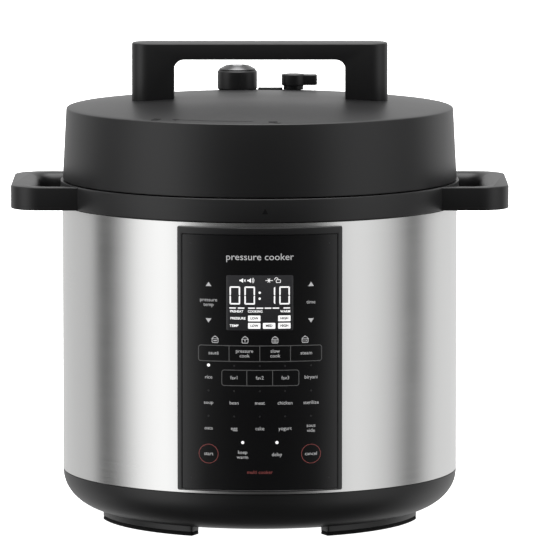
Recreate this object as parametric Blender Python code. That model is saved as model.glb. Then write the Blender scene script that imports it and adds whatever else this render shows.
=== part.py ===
"""Electric pressure cooker of the 6 litre class, as an assembly of its separate pieces.

Metres, +Z up. The origin is the centre of the footprint on the table, on the cooker's own vertical
axis. The control panel faces -Y, and the carrying lugs lie along X. The lid stands on the housing
with its handle across, tabs in the gaps of the locking ring, ready to be turned shut.
"""

import math

import bmesh
import bpy
from mathutils import Matrix, Vector

# ---- Driving sizes: the whole cooker --------------------------------------------------------
FIT = 0.0003  # gap between two pieces that touch
OVERLAP = 0.001  # how far a joined solid sinks in, and a cutter reaches past
SHELL_RADIUS = 0.136  # outside of the steel body
SHELL_BOTTOM = 0.0337
SHELL_HEIGHT = 0.1835
SHELL_WALL = 0.0008
COLLAR_HEIGHT = 0.016
LID_SIDE_HEIGHT = 0.0492
LID_CROWN = 0.008  # rise of the lid's top from rim to centre
HANDLE_RISE = 0.0366  # handle's top above the lid's centre

# ---- Base, feet and what fastens them -------------------------------------------------------
BASE_FLOOR = 0.0052
BASE_WALL = 0.0025
BASE_CURVE_WIDTH = 0.0382  # from the flat floor out to the upright side
FOOT_WIDTH = 0.011
FOOT_INSET = 0.0255  # from the shell's radius to the outside of a foot
FOOT_START, FOOT_END = math.radians(24.5), math.radians(78)
PAD_THICKNESS = 0.0024
SPIGOT = 0.0076  # how far the base reaches up inside the shell
POST_CIRCLE = 0.088
POST_RADIUS = 0.006
SCREW_RADIUS = 0.0018
SCREW_HEAD_RADIUS = 0.0036
SCREW_HEAD = 0.0022
SCREW_CLEARANCE = 0.0004
SCREW_LENGTH = 0.018  # reach of a lid screw past the sheet it holds
VENT_COUNT = 8
VENT_INNER, VENT_OUTER, VENT_WIDTH = 0.052, 0.074, 0.0044

# ---- Collar, lugs and locking ring ----------------------------------------------------------
COLLAR_LIP = 0.001  # how far the collar stands out past the shell
COLLAR_WALL = 0.0025
COLLAR_FOOT_GAP = 0.002  # collar's inner wall above the heat shield
COLLAR_SKIRT = 0.0060  # reach down inside the shell
COLLAR_WEB = 0.0084  # from the shell's radius in to the collar's inner wall
LUG_REACH = 0.0343  # past the shell's radius
LUG_HALF_WIDTH = 0.058
LUG_CORNER = 0.020
LUG_RAIL = 0.013
LUG_END_WALL = 0.0175
LUG_LIP = 0.008  # widening of the finger slot at its upper edge
LUG_SLOT_CORNER = 0.009
LUG_SLOT_ROOT = 0.030  # how far the slot's cutter starts inside the lug's root
LOCK_WALL = 0.0018
TAB_COUNT = 6
TAB_HALF_ANGLE = math.radians(13)
TAB_OVERLAP = 0.0040  # how far a lid tab reaches under a locking tab
TAB_CLEARANCE = 0.0005
TAB_THICKNESS = 0.0030
LOCK_TAB_DROP = 0.0035  # top of the locking tabs, below the collar's top
LOCK_TAB_THICKNESS = 0.0025
TAB_LEVEL_GAP = 0.0025  # from the locking tabs down to the lid's tabs

# ---- Pot, heat shield and heater ------------------------------------------------------------
POT_FLOOR = 0.062
POT_WALL = 0.0015
POT_RIM = 0.0065  # width of the rolled rim
POT_CORNER = 0.010
RIM_ROLL = 0.002  # size of the slope from the wall into the rim
POT_CLEARANCE = 0.004  # pot to heat shield
POT_RIM_DROP = 0.001  # pot's rim below the lid's tabs
SHIELD_DROP = 0.007  # heat shield's top below the pot's rim
SHIELD_WALL = 0.0012
SHIELD_FLOOR = 0.046
HEATER_RADIUS = 0.0945
HEATER_EDGE = 0.0117
HEATER_CHAMFER = 0.002
HEATER_SURROUND = 0.0045  # from the heater to the hole in the heat shield
HEATER_RIB_INNER, HEATER_RIB_OUTER = 0.058, 0.077
SPRING_PLATE_INNER, SPRING_PLATE_OUTER = 0.040, 0.108
SPRING_PLATE_THICKNESS = 0.0022
SENSOR_RADIUS = 0.0142
SENSOR_WALL = 0.001
SENSOR_TRAVEL = 0.003
SENSOR_LOW = 0.034
SENSOR_SKIRT = 0.0055  # height of the cap's side
SENSOR_SLACK = 0.0012  # play of the cap over its sleeve and its spring
SENSOR_STEM_LOW, SENSOR_STEM_RADIUS = 0.0500, 0.0038
COIL_RADIUS, COIL_WIRE, COIL_TURNS, COIL_STEPS = 0.0075, 0.0006, 4, 8
TERMINAL_RADIUS, TERMINAL_HOLE, TERMINAL_LENGTH = 0.0020, 0.0042, 0.010

# ---- Control panel --------------------------------------------------------------------------
PANEL_PROUD = 0.0045
PANEL_HALF_WIDTH = 0.0554
PANEL_MARGIN_LOW, PANEL_MARGIN_HIGH = 0.0024, 0.0027
PANEL_SIDE_BORDER, PANEL_TOP_BORDER, PANEL_BOTTOM_BORDER = 0.0030, 0.0047, 0.0010
PANEL_RECESS = 0.0011
OVERLAY_THICKNESS = 0.0005
OPENING_MARGIN = 0.0065  # from the panel's edge in to the opening in the shell
DISPLAY_HALF_WIDTH = 0.0224
DISPLAY_LOW, DISPLAY_HIGH = 0.0718, 0.0346  # below the shell's top edge
DISPLAY_DEPTH = 0.007
WINDOW_MARGIN = 0.0008
SPIGOT_WALL = 0.0028
BOARD_THICKNESS = 0.0016
TOUCH_MARGIN = 0.010

# ---- Rear inlet and condensate cup ----------------------------------------------------------
INLET_HALF_WIDTH, INLET_HALF_HEIGHT = 0.0137, 0.0115
INLET_RISE = 0.0243  # inlet's centre above the shell's lower edge
INLET_FLANGE_HALF_WIDTH, INLET_FLANGE_MARGIN = 0.0250, 0.0025
INLET_WALL = 0.0017
INLET_LEDGE = 0.0018
INLET_FLANGE = 0.0020
PIN_HALF_WIDTH, PIN_HALF_HEIGHT = 0.001, 0.002
PIN_SPREAD, PIN_OFFSET = 0.007, 0.002
INLET_DEPTH = 0.0165
CUP_DEPTH = 0.0074
CUP_HALF_ANGLE = math.radians(12)
CUP_HEIGHT = 0.042
CUP_WALL = 0.0012
CUP_BELOW_COLLAR = 0.0175
BRACKET_WEB, BRACKET_RAIL = 0.0010, 0.0013
BRACKET_LOW, BRACKET_HIGH = 0.004, 0.006  # bracket's ends, up from the cup's

# ---- Lid ------------------------------------------------------------------------------------
LID_GAP = 0.0008
LID_DRAFT = 0.0025  # taper of the lid's side over its height
LID_INSET = 0.0002
LID_WALL = 0.0025
EDGE_BREAK = 0.0007
UNDER_RING_LIFT, UNDER_RING_HEIGHT = 0.0002, 0.0020
PLATE_WALL = 0.0015
PLATE_DOME = 0.0065
PLATE_LIFT = 0.0012  # plate's edge above the lid's lower edge
SEAL_HEIGHT = 0.0117
SEAL_WIDTH = 0.0093
GROOVE_LOW, GROOVE_HIGH, GROOVE_DEPTH = 0.0038, 0.0062, 0.0033  # the seal's inner groove
RACK_WALL = 0.0012
HANDLE_HALF_LENGTH = 0.088
HANDLE_HALF_DEPTH = 0.014
HANDLE_CORNER = 0.0115
HANDLE_LEG = 0.0291
HANDLE_GRIP = 0.0111  # thickness of the bar over the opening
HANDLE_FILLET = 0.007

# ---- Valves ---------------------------------------------------------------------------------
VALVE_X, VALVE_Y = -0.0157, 0.078
VALVE_RADIUS = 0.0139
VALVE_HEIGHT = 0.0138
VALVE_CONE = 0.0029
VALVE_TOP_RADIUS = 0.0080
DECK_RISE = 0.0051  # flat deck under the valve and the lever, above the lid's edge
DECK_MARGIN = 0.0012  # deck's outline past the weight
DECK_RIB_HALF_WIDTH, DECK_RIB_HEIGHT, DECK_RIB_GAP = 0.003, 0.0015, 0.0006
VALVE_TRAVEL = 0.003
WEIGHT_TOP = 0.003  # solid top of the weight, with its play
PIPE_RADIUS = 0.0042
PIPE_WALL, PIPE_FOOT, SEAT_SIZE = 0.0016, 0.0035, 0.004
FILTER_MARGIN, FILTER_WALL, FILTER_HEIGHT = 0.0085, 0.001, 0.0085
SLIT_HALF_WIDTH, SLIT_LOW, SLIT_HIGH = 0.0012, 0.0030, 0.0025
LEVER_X = 0.0236
LEVER_RADIUS = 0.0070
LEVER_TOP = 0.0110  # above the deck
LEVER_THICKNESS = 0.0079
LEVER_FLAG = 0.0166
LEVER_BAND = 0.0083  # radius of the thick band round the lever's top
LEVER_HALF_WIDTH = 0.0046
LEVER_SWING = math.radians(60)
FLOAT_X, FLOAT_Y = 0.004, 0.098
FLOAT_RADIUS = 0.0028
FLOAT_DROP = 0.0018  # pin's top below the lid while the pot is not under pressure
PLUG_HEIGHT, PLUG_RADIUS = 0.0045, 0.0052
FLOAT_TRAVEL = 0.0055
FLOAT_HEAD, FLOAT_HEAD_HEIGHT = 0.0010, 0.0022
CAM_RADIUS, CAM_HEIGHT, CAM_GAP, CAM_LEAD, CAM_STEPS = 0.0092, 0.0095, 0.0009, math.radians(14), 14
ARM_DROP, ARM_HEIGHT, ARM_HALF_WIDTH = 0.0115, 0.0022, 0.0016
SLEEVE_WALL, SHAFT_RADIUS, SHAFT_FOOT = 0.0014, 0.0036, 0.002

# ---- Smoothness -----------------------------------------------------------------------------
RING_STEPS = 48
SMALL_STEPS = 16
FRONT, REAR = -math.pi / 2, math.pi / 2

# ---- Heights and radii that follow from the sizes above --------------------------------------
shell_top = SHELL_BOTTOM + SHELL_HEIGHT
collar_bottom = shell_top + FIT
collar_top = collar_bottom + COLLAR_HEIGHT
collar_radius = SHELL_RADIUS + COLLAR_LIP
shell_inner = SHELL_RADIUS - SHELL_WALL
collar_inner = SHELL_RADIUS - COLLAR_WEB
lock_outer = collar_inner - 2 * FIT
lock_inner = lock_outer - LOCK_WALL
lid_tab_reach = lock_inner - TAB_CLEARANCE
lock_tab_inner = lid_tab_reach - TAB_OVERLAP
lid_skirt = lock_tab_inner - 2 * TAB_CLEARANCE
pot_rim_radius = lid_skirt - PLATE_WALL - 2 * TAB_CLEARANCE
pot_radius = pot_rim_radius - POT_RIM
shield_radius = pot_radius + POT_CLEARANCE
lock_tab_top = collar_top - LOCK_TAB_DROP
lock_tab_bottom = lock_tab_top - LOCK_TAB_THICKNESS
lid_tab_top = lock_tab_bottom - TAB_LEVEL_GAP
lid_tab_bottom = lid_tab_top - TAB_THICKNESS
pot_rim_top = lid_tab_bottom - POT_RIM_DROP
shield_top = pot_rim_top - SHIELD_DROP
lid_bottom = collar_top + LID_GAP
lid_edge = lid_bottom + LID_SIDE_HEIGHT
lid_radius = SHELL_RADIUS - LID_INSET
lid_rim_radius = lid_radius - LID_DRAFT
lid_top = lid_edge + LID_CROWN
handle_top = lid_top + HANDLE_RISE
panel_radius = SHELL_RADIUS + PANEL_PROUD
panel_low = SHELL_BOTTOM + PANEL_MARGIN_LOW
panel_high = shell_top - PANEL_MARGIN_HIGH


# ---- Tools for making solids ----------------------------------------------------------------
def clear_scene():
    for item in list(bpy.data.objects):
        bpy.data.objects.remove(item)


def look(name, colour, roughness, metallic=0.0):
    """A plain material, made once for each name."""
    made = bpy.data.materials.get(name)
    if made is None:
        made = bpy.data.materials.new(name)
        made.use_nodes = True
        shader = made.node_tree.nodes["Principled BSDF"]
        shader.inputs["Base Color"].default_value = (*colour, 1.0)
        shader.inputs["Roughness"].default_value = roughness
        shader.inputs["Metallic"].default_value = metallic
    return made


def object_from(name, bm, finish):
    """Turns a bmesh into a named object, faces outwards and round faces smooth."""
    bmesh.ops.remove_doubles(bm, verts=bm.verts, dist=1e-7)
    bmesh.ops.recalc_face_normals(bm, faces=bm.faces)
    mesh = bpy.data.meshes.new(name)
    bm.to_mesh(mesh)
    bm.free()
    mesh.shade_smooth()
    mesh.set_sharp_from_angle(angle=math.radians(35))
    if finish is not None:
        mesh.materials.append(finish)
    made = bpy.data.objects.new(name, mesh)
    bpy.context.scene.collection.objects.link(made)
    return made


def turned(name, finish, outline, centre=(0.0, 0.0), steps=RING_STEPS):
    """A closed outline of (radius, height) points, turned about an upright axis."""
    bm = bmesh.new()
    points = [bm.verts.new((radius, 0.0, height)) for radius, height in outline]
    for first, second in zip(points, points[1:] + points[:1]):
        if first.co.x > 0 or second.co.x > 0:
            bm.edges.new((first, second))
    turn = {"angle": 2 * math.pi, "steps": steps, "axis": (0, 0, 1), "cent": (0, 0, 0)}
    bmesh.ops.spin(bm, geom=bm.verts[:] + bm.edges[:], use_merge=True, **turn)
    bmesh.ops.translate(bm, verts=bm.verts, vec=(*centre, 0.0))
    return object_from(name, bm, finish)


def sector(name, finish, outline, middle, half_angle, steps):
    """A closed outline of (radius, height) points, swept through an arc about the cooker's axis."""
    bm = bmesh.new()
    bm.faces.new([bm.verts.new((radius, 0.0, height)) for radius, height in outline])
    start = Matrix.Rotation(middle - half_angle, 4, "Z")
    bmesh.ops.transform(bm, matrix=start, verts=bm.verts)
    turn = {"angle": 2 * half_angle, "steps": steps, "axis": (0, 0, 1), "cent": (0, 0, 0)}
    bmesh.ops.spin(bm, geom=bm.verts[:] + bm.edges[:] + bm.faces[:], **turn)
    return object_from(name, bm, finish)


def ring_block(name, finish, inner, outer, low, high, middle, half_angle, steps=8):
    outline = [(outer, high), (outer, low), (inner, low), (inner, high)]
    return sector(name, finish, outline, middle, half_angle, steps)


def prism(name, finish, outline, low, high):
    """An outline in plan, extruded between two heights."""
    bm = bmesh.new()
    face = bm.faces.new([bm.verts.new((x, y, low)) for x, y in outline])
    grown = bmesh.ops.extrude_face_region(bm, geom=[face])["geom"]
    raised = [item for item in grown if isinstance(item, bmesh.types.BMVert)]
    bmesh.ops.translate(bm, verts=raised, vec=(0, 0, high - low))
    return object_from(name, bm, finish)


def block(name, finish, low, high):
    (x0, y0, z0), (x1, y1, z1) = low, high
    return prism(name, finish, [(x0, y0), (x1, y0), (x1, y1), (x0, y1)], z0, z1)


def upright(name, finish, centre, radius, low, high, steps=SMALL_STEPS):
    outline = [(0.0, high), (radius, high), (radius, low), (0.0, low)]
    return turned(name, finish, outline, centre, steps)


def lying(name, finish, centre, radius, length, axis, steps=SMALL_STEPS):
    """A cylinder lying along X or Y."""
    bm = bmesh.new()
    size = {"radius1": radius, "radius2": radius, "depth": length, "segments": steps}
    bmesh.ops.create_cone(bm, cap_ends=True, **size)
    lay = Matrix.Rotation(math.pi / 2, 4, "Y" if axis == "X" else "X")
    bmesh.ops.transform(bm, matrix=Matrix.Translation(centre) @ lay, verts=bm.verts)
    return object_from(name, bm, finish)


def wire(name, finish, points, radius, sides=2):
    """A round wire through a list of points, its ends closed."""
    curve = bpy.data.curves.new(name, "CURVE")
    curve.dimensions = "3D"
    curve.bevel_depth = radius
    curve.bevel_resolution = sides
    curve.use_fill_caps = True
    spline = curve.splines.new("POLY")
    spline.points.add(len(points) - 1)
    for target, point in zip(spline.points, points):
        target.co = (*point, 1.0)
    curve.materials.append(finish)
    made = bpy.data.objects.new(name, curve)
    bpy.context.scene.collection.objects.link(made)
    return made


def bend_through(stops, spacing):
    """Points along a smooth curve through the stops, about one spacing apart."""
    stops = [Vector(stop) for stop in stops]
    padded = [2 * stops[0] - stops[1]] + stops + [2 * stops[-1] - stops[-2]]
    points = []
    for before, first, second, after in zip(padded, padded[1:], padded[2:], padded[3:]):
        pieces = max(2, round((second - first).length / spacing))
        for step in range(pieces):
            t = step / pieces
            points.append(
                0.5 * (2 * first + (second - before) * t
                       + (2 * before - 5 * first + 4 * second - after) * t ** 2
                       + (3 * first - before - 3 * second + after) * t ** 3)
            )
    return points + [stops[-1]]


def modify(target, tool, operation):
    """Adds a Boolean, and keeps its tool out of the assembly."""
    step = target.modifiers.new(tool.name, "BOOLEAN")
    step.operation = operation
    step.object = tool
    step.solver = "EXACT"
    tool.hide_render = True
    tool.display_type = "WIRE"


def cut(target, *tools):
    for tool in tools:
        modify(target, tool, "DIFFERENCE")


def join(target, *tools):
    for tool in tools:
        modify(target, tool, "UNION")


def soften(target, width, angle=40):
    """Rounds the sharp edges with one small face each."""
    step = target.modifiers.new("soft_edges", "BEVEL")
    step.width = width
    step.segments = 1
    step.limit_method = "ANGLE"
    step.angle_limit = math.radians(angle)


def on_circle(radius, angle):
    return radius * math.cos(angle), radius * math.sin(angle)


def arc(centre, radius, start, end, steps):
    """Points on an arc from one angle to another, both ends included."""
    angles = [start + (end - start) * step / steps for step in range(steps + 1)]
    return [(centre[0] + radius * math.cos(a), centre[1] + radius * math.sin(a)) for a in angles]


def rounded_rectangle(half_x, half_y, corner, steps=6):
    quarters = [(1, 1, 0.0), (-1, 1, 0.5), (-1, -1, 1.0), (1, -1, 1.5)]
    outline = []
    for side_x, side_y, turn in quarters:
        centre = (side_x * (half_x - corner), side_y * (half_y - corner))
        outline += arc(centre, corner, turn * math.pi, (turn + 0.5) * math.pi, steps)
    return outline


def pivot(name, place):
    """An empty on a joint's axis."""
    made = bpy.data.objects.new(name, None)
    made.location = place
    bpy.context.scene.collection.objects.link(made)
    return made


def hang(parent, *pieces):
    """Parents pieces to an axis, with their own origins moved onto it."""
    place = Vector(parent.location)
    for piece in pieces:
        piece.data.transform(Matrix.Translation(-place))
        piece.parent = parent


def dome_height(radius):
    """The lid's upper surface at a distance from its centre."""
    return lid_edge + LID_CROWN * (1 - (radius / lid_rim_radius) ** 2)


def lid_dome(lower=0.0, steps=5):
    """Points on the lid's domed top, from the centre outwards."""
    radii = [lid_rim_radius * step / steps for step in range(steps + 1)]
    return [(radius, dome_height(radius) - lower) for radius in radii]


# ---- Finishes -------------------------------------------------------------------------------
clear_scene()
STEEL = look("brushed_steel", (0.62, 0.62, 0.61), 0.30, 1.0)
BRIGHT_STEEL = look("polished_steel", (0.68, 0.68, 0.67), 0.18, 1.0)
ZINC_STEEL = look("plated_steel", (0.50, 0.51, 0.52), 0.40, 1.0)
ALUMINIUM = look("cast_aluminium", (0.58, 0.58, 0.58), 0.50, 1.0)
BLACK = look("black_plastic", (0.018, 0.018, 0.019), 0.42)
GLOSS = look("gloss_black_panel", (0.010, 0.010, 0.011), 0.12)
GREY_PLASTIC = look("grey_plastic", (0.16, 0.16, 0.17), 0.50)
CLEAR = look("smoky_plastic", (0.30, 0.30, 0.31), 0.20)
RUBBER = look("black_rubber", (0.022, 0.022, 0.022), 0.80)
SILICONE = look("white_silicone", (0.75, 0.74, 0.70), 0.55)
RED_SILICONE = look("red_silicone", (0.45, 0.03, 0.02), 0.55)
BOARD = look("circuit_board", (0.03, 0.14, 0.06), 0.50)
COPPER = look("copper", (0.65, 0.33, 0.20), 0.35, 1.0)
CABLE = look("cable_sleeve", (0.03, 0.03, 0.03), 0.60)


# ---- Base -----------------------------------------------------------------------------------
def base_curve(inset, steps=6):
    """The bowl's quarter curve, from its upright side down to its flat floor, moved inwards."""
    rim = SHELL_BOTTOM - FIT
    fall = rim - BASE_FLOOR
    centre = SHELL_RADIUS - BASE_CURVE_WIDTH
    points = []
    for step in range(steps + 1):
        angle = 0.5 * math.pi * step / steps
        radius = centre + (BASE_CURVE_WIDTH - inset) * math.cos(angle)
        points.append((radius, rim - (fall - inset) * math.sin(angle)))
    return points


def arc_bar(inner, outer, start, end, steps=6):
    """The plan of a curved bar with round ends."""
    half = (outer - inner) / 2
    middle = (outer + inner) / 2
    tip, tail = on_circle(middle, end), on_circle(middle, start)
    outline = arc((0, 0), outer, start, end, steps)[1:-1]
    outline += arc(tip, half, end, end + math.pi, 3)
    outline += arc((0, 0), inner, end, start, steps)[1:-1]
    return outline + arc(tail, half, start + math.pi, start + 2 * math.pi, 3)


rim = SHELL_BOTTOM - FIT
spigot_radius = shell_inner - FIT
outer_curve, inner_curve = base_curve(0.0), base_curve(BASE_WALL)
base_outline = [(0.0, BASE_FLOOR + BASE_WALL), (0.0, BASE_FLOOR)] + outer_curve[::-1]
base_outline += [(spigot_radius, rim), (spigot_radius, rim + SPIGOT)]
base_outline += [(spigot_radius - BASE_WALL + SHELL_WALL, rim + SPIGOT)] + inner_curve[1:]
cooker_base = turned("cooker_base", BLACK, base_outline)

post_top = SHIELD_FLOOR - SPRING_PLATE_THICKNESS - 2 * FIT
foot_outer = SHELL_RADIUS - FOOT_INSET
foot_spans = {
    "front_right": (FRONT + FOOT_START, FRONT + FOOT_END),
    "rear_right": (-FRONT - FOOT_END, -FRONT - FOOT_START),
    "rear_left": (-FRONT + FOOT_START, -FRONT + FOOT_END),
    "front_left": (FRONT - FOOT_END, FRONT - FOOT_START),
}
for place, (start, end) in foot_spans.items():
    plan = arc_bar(foot_outer - FOOT_WIDTH, foot_outer, start, end)
    boss = prism("boss_" + place, None, plan, PAD_THICKNESS + FIT, BASE_FLOOR + BASE_WALL)
    join(cooker_base, boss)
    prism("foot_pad_" + place, RUBBER, plan, 0.0, PAD_THICKNESS)

screw_hole = SCREW_RADIUS + SCREW_CLEARANCE
head_top = BASE_FLOOR + SCREW_HEAD + FIT
corners = {"front_right": 315, "rear_right": 45, "rear_left": 135, "front_left": 225}
for place, degrees in corners.items():
    centre = on_circle(POST_CIRCLE, math.radians(degrees))
    post = upright("post_" + place, None, centre, POST_RADIUS, BASE_FLOOR + OVERLAP, post_top, 10)
    join(cooker_base, post)
for place, degrees in corners.items():
    centre = on_circle(POST_CIRCLE, math.radians(degrees))
    hole_top = post_top - POST_RADIUS
    profile = [(0.0, hole_top), (screw_hole, hole_top), (screw_hole, head_top + FIT)]
    profile += [(SCREW_HEAD_RADIUS + SCREW_CLEARANCE, head_top + FIT)]
    profile += [(SCREW_HEAD_RADIUS + SCREW_CLEARANCE, 0.004), (0.0, 0.004)]
    cut(cooker_base, turned("hole_" + place, None, profile, centre, 8))
    profile = [(0.0, hole_top - 0.002), (SCREW_RADIUS, hole_top - 0.002), (SCREW_RADIUS, head_top)]
    profile += [(SCREW_HEAD_RADIUS, head_top), (SCREW_HEAD_RADIUS, head_top - SCREW_HEAD)]
    profile += [(0.0, head_top - SCREW_HEAD)]
    turned("base_screw_" + place, ZINC_STEEL, profile, centre, 8)

for number in range(VENT_COUNT):
    angle = 2 * math.pi * (number + 0.5) / VENT_COUNT
    half = VENT_WIDTH / 2
    plan = [(VENT_INNER, -half), (VENT_OUTER, -half), (VENT_OUTER, half), (VENT_INNER, half)]
    slot = prism(f"vent_{number}", None, plan, BASE_FLOOR - OVERLAP, BASE_FLOOR + BASE_WALL + OVERLAP)
    slot.data.transform(Matrix.Rotation(angle, 4, "Z"))
    cut(cooker_base, slot)

# ---- Outer shell and collar -----------------------------------------------------------------
outer_shell = turned(
    "outer_shell", STEEL,
    [
        (SHELL_RADIUS, shell_top), (SHELL_RADIUS, SHELL_BOTTOM),
        (shell_inner, SHELL_BOTTOM), (shell_inner, shell_top),
    ],
)

skirt_radius = shell_inner - FIT
collar_web_low = collar_top - COLLAR_WALL
collar_outline = [
    (collar_radius, collar_top),
    (collar_radius, collar_bottom),
    (skirt_radius, collar_bottom),
    (skirt_radius, collar_bottom - COLLAR_SKIRT),
    (skirt_radius - COLLAR_WALL, collar_bottom - COLLAR_SKIRT),
    (skirt_radius - COLLAR_WALL, collar_web_low),
    (collar_inner + COLLAR_WALL / 2, collar_web_low),
    (collar_inner + COLLAR_WALL / 2, shield_top + COLLAR_FOOT_GAP),
    (collar_inner, shield_top + COLLAR_FOOT_GAP),
    (collar_inner, collar_top),
]
top_collar = turned("top_collar", BLACK, collar_outline)

root_radius = (collar_radius + skirt_radius - COLLAR_WALL) / 2
lug_end = SHELL_RADIUS + LUG_REACH
slot_end = lug_end - LUG_END_WALL
slot_half = LUG_HALF_WIDTH - LUG_RAIL


def lug_plan():
    root_angle = math.asin(LUG_HALF_WIDTH / root_radius)
    corner_x = lug_end - LUG_CORNER
    corner_y = LUG_HALF_WIDTH - LUG_CORNER
    plan = arc((0, 0), root_radius, root_angle, -root_angle, 10)
    plan += arc((corner_x, -corner_y), LUG_CORNER, -0.5 * math.pi, 0, 7)
    return plan + arc((corner_x, corner_y), LUG_CORNER, 0, 0.5 * math.pi, 7)


def slot_plan(grow):
    """The finger slot's plan, open towards the collar, widened all round by grow."""
    half, corner = slot_half + grow, LUG_SLOT_CORNER + grow
    inner_x = root_radius - LUG_SLOT_ROOT
    plan = [(inner_x, half), (inner_x, -half)]
    plan += arc((slot_end + grow - corner, -half + corner), corner, -0.5 * math.pi, 0, 5)
    return plan + arc((slot_end + grow - corner, half - corner), corner, 0, 0.5 * math.pi, 5)


def flared_slot(name):
    """A cutter as wide as the slot below and widened by the lip at its top."""
    bm = bmesh.new()
    levels = [(collar_bottom - 2 * OVERLAP, 0.0)]
    for step in range(5):
        angle = 0.5 * math.pi * step / 4
        levels.append((collar_top - LUG_LIP * (1 - math.sin(angle)), LUG_LIP * (1 - math.cos(angle))))
    levels.append((collar_top + 2 * OVERLAP, LUG_LIP + OVERLAP / 2))
    rings = [[bm.verts.new((x, y, z)) for x, y in slot_plan(grow)] for z, grow in levels]
    for lower, upper in zip(rings, rings[1:]):
        for index in range(len(lower)):
            after = (index + 1) % len(lower)
            bm.faces.new((lower[index], lower[after], upper[after], upper[index]))
    bm.faces.new(rings[0][::-1])
    bm.faces.new(rings[-1])
    return object_from(name, bm, None)


for side, turn in (("right", 0.0), ("left", math.pi)):
    lug = prism("lug_" + side, None, lug_plan(), collar_bottom, collar_top)
    slot = flared_slot("finger_slot_" + side)
    for item in (lug, slot):
        item.data.transform(Matrix.Rotation(turn, 4, "Z"))
    cut(lug, slot)
    join(top_collar, lug)

# ---- Locking ring: a steel hoop with tabs that point inwards ----------------------------------
lock_outline = [
    (lock_outer, lock_tab_top + FIT),
    (lock_outer, shield_top + FIT),
    (lock_inner, shield_top + FIT),
    (lock_inner, lock_tab_top + FIT),
]
locking_ring = turned("locking_ring", ZINC_STEEL, lock_outline)
for number in range(TAB_COUNT):
    angle = 2 * math.pi * number / TAB_COUNT
    reach = lock_inner + LOCK_WALL / 2
    size = (lock_tab_inner, reach, lock_tab_bottom, lock_tab_top, angle, TAB_HALF_ANGLE, 5)
    join(locking_ring, ring_block(f"lock_tab_{number}", None, *size))

# ---- Heat shield, spring plate, heater and sensor ---------------------------------------------
shield_outer = shield_radius + SHIELD_WALL
shield_outline = [
    (lock_outer, shield_top),
    (lock_outer, shield_top - SHIELD_WALL),
    (shield_outer, shield_top - SHIELD_WALL),
    (shield_outer, SHIELD_FLOOR),
    (HEATER_RADIUS + HEATER_SURROUND, SHIELD_FLOOR),
    (HEATER_RADIUS + HEATER_SURROUND, SHIELD_FLOOR + SHIELD_WALL),
    (shield_radius, SHIELD_FLOOR + SHIELD_WALL),
    (shield_radius, shield_top),
]
turned("heat_shield", ALUMINIUM, shield_outline)

spring_top = SHIELD_FLOOR - FIT
spring_low = spring_top - SPRING_PLATE_THICKNESS
spring_outline = [
    (SPRING_PLATE_OUTER, spring_top), (SPRING_PLATE_OUTER, spring_low),
    (SPRING_PLATE_INNER, spring_low), (SPRING_PLATE_INNER, spring_top),
]
spring_plate = turned("spring_plate", ZINC_STEEL, spring_outline, steps=32)
heater_top = POT_FLOOR - FIT
heater_low = heater_top - HEATER_EDGE
sensor_hole = SENSOR_RADIUS + FIT
heater_outline = [
    (HEATER_RADIUS, heater_top),
    (HEATER_RADIUS, heater_low),
    (HEATER_RIB_OUTER, heater_low),
    (HEATER_RIB_OUTER - HEATER_CHAMFER, spring_top + FIT),
    (HEATER_RIB_INNER + HEATER_CHAMFER, spring_top + FIT),
    (HEATER_RIB_INNER, heater_low),
    (sensor_hole, heater_low),
    (sensor_hole, heater_top),
]
turned("heating_plate", ALUMINIUM, heater_outline, steps=32)

rib_middle = (HEATER_RIB_INNER + HEATER_RIB_OUTER) / 2
for side, degrees in (("left", 104), ("right", 76)):
    centre = on_circle(rib_middle, math.radians(degrees))
    low, high = spring_low - OVERLAP, spring_top + OVERLAP
    cut(spring_plate, upright("terminal_hole_" + side, None, centre, TERMINAL_HOLE, low, high, 12))
    low = spring_low - TERMINAL_LENGTH
    upright("heater_terminal_" + side, COPPER, centre, TERMINAL_RADIUS, low, spring_top, 12)

bore = SENSOR_RADIUS - SENSOR_WALL
sleeve_top = heater_top - SENSOR_SLACK
sleeve_outline = [
    (SENSOR_RADIUS, sleeve_top),
    (SENSOR_RADIUS, SENSOR_LOW),
    (0.0, SENSOR_LOW),
    (0.0, SENSOR_LOW + SENSOR_WALL),
    (bore, SENSOR_LOW + SENSOR_WALL),
    (bore, sleeve_top),
]
turned("sensor_sleeve", GREY_PLASTIC, sleeve_outline, steps=SMALL_STEPS)
cap_radius = bore - SENSOR_WALL
cap_outline = [
    (0.0, heater_top),
    (cap_radius, heater_top),
    (cap_radius, heater_top - SENSOR_SKIRT),
    (cap_radius - SENSOR_WALL, heater_top - SENSOR_SKIRT),
    (cap_radius - SENSOR_WALL, heater_top - SENSOR_SLACK),
    (SENSOR_STEM_RADIUS, heater_top - SENSOR_SLACK),
    (SENSOR_STEM_RADIUS, SENSOR_STEM_LOW),
    (0.0, SENSOR_STEM_LOW),
]
sensor_cap = turned("sensor_cap", ALUMINIUM, cap_outline, steps=SMALL_STEPS)
coil_low = SENSOR_LOW + 2 * SENSOR_WALL
coil_high = SENSOR_STEM_LOW - SENSOR_TRAVEL - SENSOR_SLACK
coil = []
for step in range(COIL_TURNS * COIL_STEPS + 1):
    angle = 2 * math.pi * step / COIL_STEPS
    share = step / (COIL_TURNS * COIL_STEPS)
    coil.append((*on_circle(COIL_RADIUS, angle), coil_low + (coil_high - coil_low) * share))
wire("sensor_spring", BRIGHT_STEEL, coil, COIL_WIRE, 1)

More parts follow.
